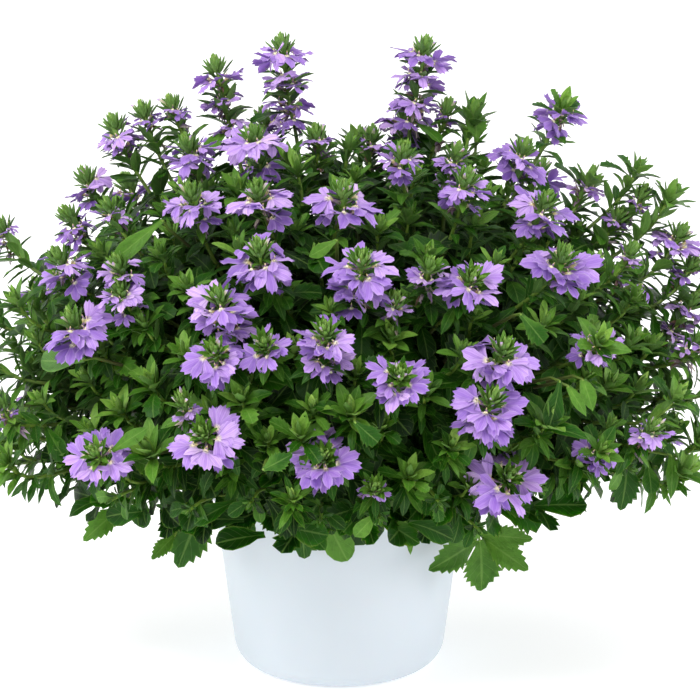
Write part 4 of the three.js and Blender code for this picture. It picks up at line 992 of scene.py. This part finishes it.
# Narrow leaves crowd the top of a shoot, and looser ones follow below
CROWDED = Form(
    outline="lance", until=40, spacing=1.76, head_spacing=0.8, length=(8, 18), grown_at=26,
    length_about=(1, 0.2), slimness=(0.28, 0.42), climb=(1.2, 0.6, 0.35), weight=(0.1, 0.6),
    weight_bend=1.5, curl_about=(0.6, 0.7),
)
LOOSE = Form(
    spacing=5.6, length=(20, 31), hanging_size=0.62, slimness=(0.4, 0.55), climb_about=(0.35, 0.45),
    weight=(0.1, 0.5), curl_about=(0.5, 0.5),
)
# shade and lit_depth paint shade and light on a leaf by how deep in the bush it sits
LEAF_FORM = Form(
    turn_swing=0.5, sunk=0.6, up_way=0.8, up_up=0.6, fold_about=(0.25, 0.15), wave=0.1, roll=0.5,
    thickness=0.6, tone=0.58, ageing=0.36, old_at=60, shade=1.1, lit_depth=0.92, tone_swing=0.2,
    least_tone=0.04,
)
# The low tones of the inner leaves are painted shade for the inside of the bush.
INNER = Form(
    leaves=880, lowest_rise=-34, depths=(0.6, 0.82), floor=125, low_zone=14, low_heights=8,
    out=(0.3, 0.9), aside=0.8, least_aside=1e-3, upwards=0.8, low_upwards=0.3, weight=0.1, up_up=0.8,
    length=(24, 34), sunk=0.5, slimness=(0.42, 0.58), curl_about=(0.6, 0.5), fold=0.22, wave=0.1,
    roll=0.5, thickness=0.6, tone=(0.02, 0.42),
)
BROAD_OUTLINES = ("toothed", "broad", "oval")


def broad_outline(share):
    return BROAD_OUTLINES[int(share * len(BROAD_OUTLINES))]


def add_tuft(pile, shoot):
    """The open cup of green bracts on top of a flower head."""
    index = shoot.index
    size = TUFT.least_size + TUFT.growth * shoot.reach
    for item in range(TUFT.bracts):
        share = item / (TUFT.bracts - 1)
        out = shoot.around(item * GOLDEN_TURN)
        tilt = trend(TUFT.tilt, share ** TUFT.tilt_bend, index, item, 71)
        root = shoot.tip + out * TUFT.width * share ** TUFT.width_bend
        root += shoot.axis * lerp(*TUFT.height, share)
        length = lerp(*TUFT.length, share ** TUFT.length_bend) * size
        length *= about(TUFT.length_about, index, item, 72)
        pile.blade(
            "bract", LEAF, root, turned_to(shoot.axis, out, tilt), unit(shoot.axis - out), length,
            length * between(TUFT.slimness, index, item, 73),
            trend(TUFT.curl, share, index, item, 75), TUFT.fold, thickness=TUFT.thickness,
            tone=trend(TUFT.tone, share ** TUFT.tone_bend, index, item, 74),
        )


def add_buds(pile, shoot):
    index = shoot.index
    for item in range(int(BUD.most * draw(index, 0, 78))):
        out = shoot.around(item * BUD.turn + draw(index, item, 75) * BUD.turn_swing)
        along = unit(shoot.axis + out * between(BUD.lean, index, item, 76))
        pile.blade(
            "bract", THROAT, shoot.tip + out * BUD.out, along, out, between(BUD.length, index, item, 77),
            BUD.width, thickness=BUD.thickness, tone=BUD.tone,
        )


def add_rosette(pile, shoot, size, shade=0.0):
    """The open tip of a leafy shoot: bracts in the middle, narrow or oval leaves round them."""
    index = shoot.index
    slim = draw(index, 0, 86) < ROSETTE.slim_share and not shoot.leafy
    size *= 1 + ROSETTE.size_swing * vary(index, 0, 87)
    last_width = ROSETTE.slim_width if slim else ROSETTE.wide_width
    for item in range(ROSETTE.bracts):
        share = item / (ROSETTE.bracts - 1)
        out = shoot.around(item * GOLDEN_TURN)
        tilt = trend(ROSETTE.tilt, share, index, item, 81)
        root = shoot.tip + out * lerp(*ROSETTE.out, share) - shoot.axis * ROSETTE.drop * share
        outline = "narrow" if slim else "lance"
        if share < ROSETTE.bract_share:
            outline = "bract"
        elif share > ROSETTE.outer_share and not slim and draw(index, item, 90) < ROSETTE.toothed_share:
            outline = "toothed"
        length = lerp(*ROSETTE.length, share ** ROSETTE.length_bend) * size
        length *= about(ROSETTE.length_about, index, item, 82)
        width = length * lerp(ROSETTE.first_width, last_width, share)
        # A shade lowers the tone of every leaf of the rosette, as painted shade.
        pile.blade(
            outline, LEAF, root, turned_to(shoot.axis, out, tilt), unit(shoot.axis - out * ROSETTE.up_out),
            length, width * about(ROSETTE.width_about, index, item, 85),
            trend(ROSETTE.curl, share, index, item, 88), ROSETTE.fold, ROSETTE.wave,
            ROSETTE.roll * vary(index, item, 89), ROSETTE.thickness,
            trend(ROSETTE.tone, share, index, item, 83) - shade, draw(index, item, 84),
        )


def add_leaves(pile, shoot):
    """Leaves on a spiral down a shoot: narrow and crowded above, wider, toothed and looser further down."""
    index = shoot.index
    hanging = shoot.kind == "hanging"
    distance = FIRST_LEAF[shoot.kind]
    item = 0
    while distance < shoot.length:
        point, way = shoot.below(distance)
        depth = nearness(point)
        if depth < LEAFLESS_DEPTH:
            break
        form = LOOSE if hanging or distance >= CROWDED.until else CROWDED
        if form is CROWDED:
            outline = form.outline
            length = lerp(*form.length, min(distance / form.grown_at, 1))
            length *= about(form.length_about, index, item, 94)
            climb = trend(form.climb, distance / form.until, index, item, 96)
            weight = lerp(*form.weight, (1 - abs(way[2])) ** form.weight_bend)
            spacing = form.spacing * (form.head_spacing if shoot.kind == "head" else 1)
        else:
            outline = broad_outline(draw(index, item, 93))
            length = between(form.length, index, item, 94) * (form.hanging_size if hanging else 1)
            climb = about(form.climb_about, index, item, 96)
            weight = between(form.weight, index, item, 97)
            spacing = form.spacing
        leaf = LEAF_FORM
        out = shoot.around(item * GOLDEN_TURN + leaf.turn_swing * vary(index, item, 91), way)
        along = unit(turned_to(out, way, climb) - UP * weight)
        tone = leaf.tone - leaf.ageing * min(distance / leaf.old_at, 1)
        # Painted shade and light: leaves deeper in the bush than the lit depth are darkened, those nearer its
        # surface lightened.
        tone += leaf.shade * (min(depth, 1) - leaf.lit_depth)
        tone += leaf.tone_swing * vary(index, item, 98)
        pile.blade(
            outline, LEAF, point + out * SHOOT_RADIUS * leaf.sunk, along,
            across_from(along, way * leaf.up_way + UP * leaf.up_up), length,
            length * between(form.slimness, index, item, 95), about(form.curl_about, index, item, 99),
            about(leaf.fold_about, index, item, 100), leaf.wave, leaf.roll * vary(index, item, 101),
            leaf.thickness, max(tone, leaf.least_tone), draw(index, item, 102),
        )
        distance += spacing
        item += 1


def add_inner_leaves(piles):
    """Broad leaves that cover the inside of the bush on all sides, painted dark as the shade there."""
    for item, (rise, bearing) in enumerate(even_spiral(INNER.leaves, INNER.lowest_rise)):
        place = place_at_bearing(rise, bearing, between(INNER.depths, item, 0, 111))
        out = unit((place - DOME_MIDDLE) / DOME_SIZE)
        aside = unit(np.cross(UP, out) + UP * INNER.least_aside)
        upwards = INNER.upwards * vary(item, 0, 114)
        if place[2] < INNER.floor + INNER.low_zone:
            place = place * np.array((1, 1, 0)) + UP * (INNER.floor + INNER.low_heights * draw(item, 0, 112))
            upwards = INNER.low_upwards
        along = out * between(INNER.out, item, 0, 113) + aside * vary(item, 0, 115) * INNER.aside
        along = unit(along + np.cross(out, aside) * upwards - UP * INNER.weight)
        length = between(INNER.length, item, 0, 116)
        piles[branch_at(place)].blade(
            broad_outline(draw(item, 0, 117)), LEAF, place - along * length * INNER.sunk, along,
            unit(out + UP * INNER.up_up), length, length * between(INNER.slimness, item, 0, 118),
            about(INNER.curl_about, item, 0, 119), INNER.fold, INNER.wave, INNER.roll * vary(item, 0, 120),
            INNER.thickness, between(INNER.tone, item, 0, 121), draw(item, 0, 122),
        )


# Single leaves over the pot's rim: root and tip right of and above the aim in mm, width, tone, outline
RIM_LEAVES = [
    (-87, -90, -109, -133, 27, 0.42, "rim"), (-100, -99, -117, -97, 9, 0.35, "rim"),
    (-108, -114, -122, -127, 10, 0.55, "rim"), (-139, -95, -164, -115, 15, 0.55, "rim"),
    (-129, -83, -130, -109, 14, 0.3, "broad"), (-54, -76, -59, -104, 30, 0.2, "rim"),
    (-30, -88, -29, -130, 25, 0.3, "rim"), (-20, -92, -2, -131, 18, 0.5, "broad"),
    (-6, -88, 14, -119, 27, 0.12, "broad"), (27, -73, 26, -106, 28, 0.16, "broad"),
    (34, -86, 39, -128, 6, 0.5, "narrow"), (55, -73, 54, -111, 32, 0.2, "rim"),
    (80, -117, 84, -150, 25, 0.45, "rim"), (78, -117, 55, -135, 18, 0.45, "rim"),
    (82, -116, 109, -134, 17, 0.5, "rim"), (81, -113, 110, -117, 14, 0.5, "rim"),
    (170, -66, 170, -98, 19, 0.3, "rim"), (182, -68, 187, -86, 12, 0.4, "broad"),
    (197, -64, 200, -90, 9, 0.45, "lance"),
]
# Single leaves in the dome, with the same values
DOME_LEAVES = [
    (77, 127, 78, 147, 15, 0.5, "rim"), (-114, 79, -143, 57, 11, 0.5, "broad"),
    (-162, -6, -194, -8, 13, 0.45, "broad"), (128, -19, 124, -46, 12, 0.2, "broad"),
    (133, -22, 145, -40, 7, 0.55, "lance"), (142, -18, 149, -36, 10, 0.55, "lance"),
    (-8, 67, -22, 58, 8, 0.6, "oval"), (-53, -73, -37, -65, 11, 0.4, "rim"),
    (-146, -62, -128, -50, 9, 0.5, "oval"), (3, -44, 16, -56, 12, 0.3, "toothed"),
    (104, 22, 118, 6, 12, 0.4, "toothed"),
]
RIM_REACH = 94
RIM_LEAF_MARGIN = 12
RIM_TIP_OUT = 4
STALK_ROOT_SHARE = 0.72
STALK_ROOT_HEIGHT = 150
DOME_LEAF_ROOT = 0.97
DOME_STALK_SHARE = 0.86
SINGLE_LEAF = Form(
    facing=0.65, lean=0.12, stretch=1.04, curl=0.45, fold=0.16, wave=0.07, roll=0.25, thickness=0.7,
)
STALK = Form(out=6, up=4, radii=(1.1, 1, 0.8, 0.7), tone=0.5)


def place_at_reach(side, height, reach):
    """Where the line of sight through a point of the picture comes within a reach of the upright axis."""
    y = -math.sqrt(max(reach * reach - side * side, 0))
    rise = (height - y * math.sin(VIEW_RISE)) / math.cos(VIEW_RISE)
    nearer = 1 + y * math.cos(VIEW_RISE) / VIEW_DISTANCE
    return np.array((side * nearer + VIEW_AIM[0], y, rise * nearer + VIEW_AIM[2]))


def add_single_leaf(piles, item, root, tip, inside, width, tone, outline):
    """A leaf from root to tip that faces outwards and forwards, on a short stalk out of the bush."""
    leaf = SINGLE_LEAF
    away = unit(np.array((root[0], root[1], 0)))
    facing = unit(lerp(away, TOWARDS_VIEWER, leaf.facing) + UP * leaf.lean)
    along = unit(tip - root)
    pile = piles[branch_at(root)]
    pile.blade(
        outline, LEAF, root, along, facing, np.linalg.norm(tip - root) * leaf.stretch, width,
        leaf.curl, leaf.fold, leaf.wave, leaf.roll * vary(item, 0, 151), leaf.thickness, tone,
        draw(item, 0, 152),
    )
    bend = lerp(root, inside, 0.5) + away * STALK.out + UP * STALK.up
    tube(pile, STEM, [inside, bend, root, root + along], STALK.radii, TUBE_SIDES, STALK.tone)


def add_single_leaves(piles):
    for item, (root_side, root_height, tip_side, tip_height, *looks) in enumerate(RIM_LEAVES):
        reach = max(RIM_REACH, abs(root_side) + RIM_LEAF_MARGIN)
        tip_reach = max(reach, abs(tip_side) + RIM_LEAF_MARGIN) + RIM_TIP_OUT
        root = place_at_reach(root_side, root_height, reach)
        tip = place_at_reach(tip_side, tip_height, tip_reach)
        inside = np.array((root[0] * STALK_ROOT_SHARE, root[1] * STALK_ROOT_SHARE, STALK_ROOT_HEIGHT))
        add_single_leaf(piles, item, root, tip, inside, *looks)
    for item, (root_side, root_height, tip_side, tip_height, *looks) in enumerate(DOME_LEAVES):
        root = place_on_dome(root_side, root_height, DOME_LEAF_ROOT)
        tip = place_on_dome(tip_side, tip_height, 1)
        inside = DOME_MIDDLE + (root - DOME_MIDDLE) * DOME_STALK_SHARE
        add_single_leaf(piles, item + len(RIM_LEAVES), root, tip, inside, *looks)


def add_shoot_stem(pile, shoot):
    shares = [step / SHOOT_STEPS for step in range(SHOOT_STEPS + 1)]
    points = [shoot.below(shoot.length * (1 - share))[0] for share in shares]
    radii = [lerp(SHOOT_RADIUS * SHOOT_FOOT_WIDENING, TIP_RADIUS, share) for share in shares]
    tube(pile, STEM, points, radii, TUBE_SIDES, draw(shoot.index, 0, 131))


def add_main_stem(pile, branch, soil_top):
    out = stem_out(branch)
    root = out * STEM_CIRCLE + UP * (soil_top - STEM_DEPTH)
    fork = out * FORK_CIRCLE + UP * (soil_top + FORK_HEIGHT)
    shares = [step / STEM_STEPS for step in range(STEM_STEPS + 1)]
    points = [lerp(root, fork, share) for share in shares]
    radii = [lerp(STEM_RADIUS, STEM_RADIUS * STEM_THINNING, share) for share in shares]
    tube(pile, STEM, points, radii, STEM_SIDES, STEM_TONE)


# Building the pieces

# The map holds one cell for each tone and side of a blade, and a band of cells for each material
MAP_NAME = "OFBake"
MAP_COLUMNS = 16
MAP_ROWS = 2 * TONES / MAP_COLUMNS
MAP_MARGIN = 0.06
MAP_BANDS = {
    1: [(0, 1)],
    2: [(0, 0.84), (0.84, 1)],
    3: [(0, 0.64), (0.64, 0.82), (0.82, 1)],
}
SMOOTH_LIMIT = math.radians(60)


def places_on_map(values, kinds, unders, bands):
    """Where each corner of a blade lies on the map."""
    share, column, tone = (MAP_MARGIN + (1 - 2 * MAP_MARGIN) * values).T
    cell = np.rint(values[:, 2] * (TONES - 1)) * 2 + unders
    low, high = np.array(bands)[kinds].T
    across = (cell % MAP_COLUMNS + column) / MAP_COLUMNS
    along = low + (high - low) * (cell // MAP_COLUMNS + share) / MAP_ROWS
    return np.stack([across, along], axis=-1)


def make_mesh(name, pile, materials, has_map, smooth):
    mesh = bpy.data.meshes.new(name)
    points = np.concatenate(pile.points) * MM
    values = np.concatenate(pile.values)
    sizes = np.concatenate([np.full(len(faces), faces.shape[1]) for faces, kinds, unders in pile.faces])
    corners = np.concatenate([faces.ravel() for faces, kinds, unders in pile.faces])
    kinds = np.concatenate([kinds for faces, kinds, unders in pile.faces])
    unders = np.concatenate([unders for faces, kinds, unders in pile.faces])
    mesh.vertices.add(len(points))
    mesh.vertices.foreach_set("co", points.astype(np.float32).ravel())
    mesh.loops.add(len(corners))
    mesh.loops.foreach_set("vertex_index", corners.astype(np.int32))
    mesh.polygons.add(len(sizes))
    mesh.polygons.foreach_set("loop_start", (np.cumsum(sizes) - sizes).astype(np.int32))
    mesh.polygons.foreach_set("material_index", kinds.astype(np.int32))
    mesh.polygons.foreach_set("use_smooth", np.full(len(sizes), smooth))
    if has_map:
        blade = mesh.attributes.new("blade", "FLOAT_VECTOR", "POINT")
        blade.data.foreach_set("vector", values.astype(np.float32).ravel())
        under = mesh.attributes.new("under", "FLOAT", "FACE")
        under.data.foreach_set("value", unders.astype(np.float32))
        places = places_on_map(
            values[corners], np.repeat(kinds, sizes), np.repeat(unders, sizes), MAP_BANDS[len(materials)],
        )
        uv_map = mesh.uv_layers.new(name=MAP_NAME)
        uv_map.uv.foreach_set("vector", places.astype(np.float32).ravel())
    mesh.update(calc_edges=True)
    mesh.validate()
    if smooth:
        mesh.set_sharp_from_angle(angle=SMOOTH_LIMIT)
    for material in materials:
        mesh.materials.append(material)
    return mesh


def make_piece(name, pile, materials, nodes, has_map=True, smooth=True):
    piece = bpy.data.objects.new(name, make_mesh(name, pile, materials, has_map, smooth))
    bpy.context.scene.collection.objects.link(piece)
    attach(piece, "root")
    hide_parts(*nodes)


def closed_pile(rings, first_end, last_end):
    """A closed body from rings of points one above the other, and an end below and above them."""
    rows, sides = rings.shape[:2]
    points = np.concatenate([rings.reshape(-1, 3), [first_end, last_end]])
    first, last = rows * sides, rows * sides + 1
    top = first - sides
    caps = []
    for side in range(sides):
        after = (side + 1) % sides
        caps.append([first, after, side])
        caps.append([last, top + side, top + after])
    pile = Pile()
    pile.add(points, np.zeros((len(points), 3)), [ring_faces(rows, sides), caps], 0)
    return pile


def turned_pile(profile, sides):
    """A closed body turned round the z axis: the profile starts and ends on the axis."""
    angles = np.arange(sides) / sides * FULL_TURN
    rings = [
        [(radius * math.cos(angle), radius * math.sin(angle), height) for angle in angles]
        for radius, height in profile[1:-1]
    ]
    return closed_pile(np.array(rings), (0, 0, profile[0][1]), (0, 0, profile[-1][1]))


def foot_arc(foot_radius, inset):
    slope = math.atan(POT_FLARE)
    middle = foot_radius + POT_CORNER * (math.tan(slope) - 1 / math.cos(slope))
    arc = []
    for step in range(CORNER_STEPS + 1):
        angle = -math.pi / 2 + step / CORNER_STEPS * (math.pi / 2 - slope)
        radius = POT_CORNER - inset
        arc.append((middle + radius * math.cos(angle), POT_CORNER + radius * math.sin(angle)))
    return arc


def pot_profile(height, foot_radius):
    """From the middle of the foot up the outside, over the rim and down the inside."""
    lip_foot = height - POT_LIP_HEIGHT
    slope_foot = lip_foot - POT_LIP_SLOPE

    def wall(at):
        return foot_radius + POT_FLARE * at

    return [
        (0, 0),
        *foot_arc(foot_radius, 0),
        (wall(slope_foot - POT_LIP_LEAD), slope_foot - POT_LIP_LEAD),
        (wall(slope_foot), slope_foot),
        *[(wall(lip_foot) + POT_LIP * share, lip_foot + up) for share, up in LIP_FOOT_POINTS],
        (wall(height) + POT_LIP, height - POT_RIM_EDGE),
        *[(wall(height) + POT_LIP * share, height + up) for share, up in LIP_TOP_POINTS],
        (wall(height) - POT_WALL + POT_BEVEL, height),
        (wall(height) - POT_WALL, height - POT_BEVEL),
        *foot_arc(foot_radius, POT_WALL)[::-1],
        (0, POT_WALL),
    ]


def make_pot():
    low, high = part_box("pot")
    height = high.z / MM
    foot_radius = high.x / MM - POT_LIP - POT_FLARE * height
    pile = turned_pile(pot_profile(height, foot_radius), POT_SIDES)
    make_piece("flower_pot", pile, [pot_material()], ["pot"], False)
    return foot_radius


def make_soil(foot_radius):
    """The soil with a mounded and rippled top. Gives back the height of its top."""
    low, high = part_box("soil")
    top = high.z / MM
    edge_height = top - SOIL_MOUND
    inset = POT_WALL + SOIL_GAP
    edge = foot_radius + POT_FLARE * edge_height - POT_WALL - SOIL_GAP
    profile = [(0, inset), *foot_arc(foot_radius, inset), (edge, edge_height)]
    for ring in range(1, SOIL_RINGS):
        share = 1 - ring / SOIL_RINGS
        profile.append((edge * share, edge_height + SOIL_MOUND * (1 - share * share)))
    profile.append((0, top))
    pile = turned_pile(profile, SOIL_SIDES)
    points = pile.points[0]
    on_top = points[:, 2] > edge_height + SOIL_EDGE_KEPT
    ripple = sum(
        np.sin(points[:, 0] * pitch + turn) * np.cos(points[:, 1] * pitch * SOIL_RIPPLE_CROSS_PITCH - turn)
        for pitch, turn in SOIL_RIPPLES
    )
    sinking = np.minimum(ripple * SOIL_RIPPLE_HEIGHT - SOIL_RIPPLE_DEPTH, 0)
    points[:, 2] += np.where(on_top, sinking, 0)
    make_piece("soil_crumbs", pile, [soil_material()], ["soil"], False)
    return top


# The dense inside of the bush: its grid, its size as a share of the dome's, and what makes it rough
INSIDE = Form(sides=72, rows=40, depth=0.5, lump=0.018, jag=0.03, floor=4, floor_lump=2)
INSIDE_LUMPS = (((11, 5, 9), 0.3), ((-7, 13, 6), 1.7), ((17, -11, 14), 3.1), ((23, 19, -21), 5))


def inside_point(row, column):
    rise = lerp(-math.pi / 2, math.pi / 2, row / INSIDE.rows)
    bearing = column / INSIDE.sides * FULL_TURN
    way = way_at(rise, bearing)
    lump = sum(math.sin(way @ np.array(pitch) + turn) for pitch, turn in INSIDE_LUMPS)
    jag = INSIDE.jag * vary(row, column, 141) if 0 < row < INSIDE.rows else 0
    point = DOME_MIDDLE + DOME_SIZE * way * (INSIDE.depth + INSIDE.lump * lump + jag)
    point[2] = max(point[2], CORE_FLOOR + INSIDE.floor + INSIDE.floor_lump * lump)
    return point


def make_inside(branch_nodes):
    """A rough body in the middle of the bush, that the leaves cover on all sides. Its near black green is
    painted shade.
    """
    rings = np.array([
        [inside_point(row, column) for column in range(INSIDE.sides)] for row in range(1, INSIDE.rows)
    ])
    pile = closed_pile(rings, inside_point(0, 0), inside_point(INSIDE.rows, 0))
    make_piece("dense_inside", pile, [inside_shade_material()], branch_nodes, False, False)


def node_of_head(shoot, head_points):
    """The model's node that holds a head's own ring: the one with a point nearest to its middle."""
    return min(head_points, key=lambda name: np.linalg.norm(head_points[name] - shoot.place, axis=1).min())


def make_plant(soil_top):
    shoots = lay_out_shoots()
    young = lay_out_young_shoots(shoots)
    branch_nodes = [f"leafy_branch_{branch + 1:02d}" for branch in range(BRANCHES)]
    head_points = {}
    for name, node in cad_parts.items():
        if name.startswith("flower_head"):
            head_points[name] = np.array([vertex.co for vertex in node.data.vertices]) / MM

    green = [Pile() for branch in range(BRANCHES)]
    grown = [Pile() for branch in range(BRANCHES)]
    free = {name: Pile() for name in head_points}
    for branch in range(BRANCHES):
        add_main_stem(green[branch], branch, soil_top)
    for shoot in shoots + young:
        pile = green[shoot.branch]
        add_shoot_stem(pile, shoot)
        if shoot.kind == "head":
            own = free[node_of_head(shoot, head_points)] if shoot.own_body else grown[shoot.branch]
            for level in range(shoot.levels):
                add_ring(own if level == 0 else grown[shoot.branch], shoot, level)
        if shoot.kind != "head" or shoot.leafy:
            shade = HANGING_SHADE if shoot.kind == "hanging" else 0
            add_rosette(pile, shoot, ROSETTE_SIZES[shoot.kind], shade)
        else:
            add_buds(own, shoot)
            add_tuft(pile, shoot)
        add_leaves(pile, shoot)
    add_inner_leaves(green)
    add_single_leaves(green)

    greens = [leaf_material(), stem_material()]
    violets = [petal_material(), throat_material(), wilted_material()]
    for branch, node in enumerate(branch_nodes):
        green[branch].finish_blades()
        make_piece(f"foliage_{branch + 1:02d}", green[branch], greens, [node])
        grown[branch].finish_blades()
        make_piece(f"side_fans_{branch + 1:02d}", grown[branch], violets, [node])
    for name, pile in free.items():
        pile.finish_blades()
        make_piece(f"fans_{name[-2:]}", pile, violets, [name])
    make_inside(branch_nodes)


# Stage, light and camera, in metres

FLOOR_SIZE = 12
FLOOR_GLOW = 0.36
LIGHT_AIM = Vector((0, 0, 0.2))
# Name, place, width, power and colour of each light
LIGHTS = [
    ("key", (-0.8, -1.5, 2.2), 0.7, 30, (1, 0.98, 0.95)),
    ("left", (-2.2, -0.1, 0.5), 1, 15, (1, 1, 1)),
    ("right", (2.2, -0.1, 0.5), 1, 15, (0.97, 0.98, 1)),
]


def make_floor():
    bpy.ops.mesh.primitive_plane_add(size=FLOOR_SIZE, location=(0, 0, 0))
    floor = bpy.context.object
    floor.name = "pale_floor"
    nodes = Nodes("pale_floor")
    floor.data.materials.append(nodes.finish_flat(
        Base_Color=nodes.step(nodes.noise(2, 2), 0.3, 0.7, 0.9, 0.92), Roughness=0.9,
        Emission_Color=(1, 1, 1, 1), Emission_Strength=FLOOR_GLOW,
    ))


def make_light(name, place, size, power, colour):
    data = bpy.data.lights.new(name, "AREA")
    data.shape = "SQUARE"
    data.size = size
    data.energy = power
    data.color = colour
    light = bpy.data.objects.new(name, data)
    bpy.context.scene.collection.objects.link(light)
    light.location = place
    light.rotation_euler = (LIGHT_AIM - Vector(place)).to_track_quat("-Z", "Y").to_euler()


def make_lights():
    scene = bpy.context.scene
    world = bpy.data.worlds.new("studio")
    world.use_nodes = True
    background = world.node_tree.nodes["Background"]
    background.inputs["Color"].default_value = (1, 1, 1, 1)
    background.inputs["Strength"].default_value = 1
    scene.world = world
    scene.view_settings.view_transform = "Standard"
    for light in LIGHTS:
        make_light(*light)


def make_camera():
    data = bpy.data.cameras.new("camera")
    data.sensor_width = 36
    data.lens = VIEW_LENS
    data.clip_start = 0.05
    data.clip_end = 40
    camera = bpy.data.objects.new("camera", data)
    bpy.context.scene.collection.objects.link(camera)
    camera.location = Vector(EYE * MM)
    camera.rotation_euler = Vector(-EYE_WAY).to_track_quat("-Z", "Y").to_euler()
    bpy.context.scene.camera = camera


make_camera()
foot_radius = make_pot()
soil_top = make_soil(foot_radius)
make_plant(soil_top)
make_floor()
make_lights()
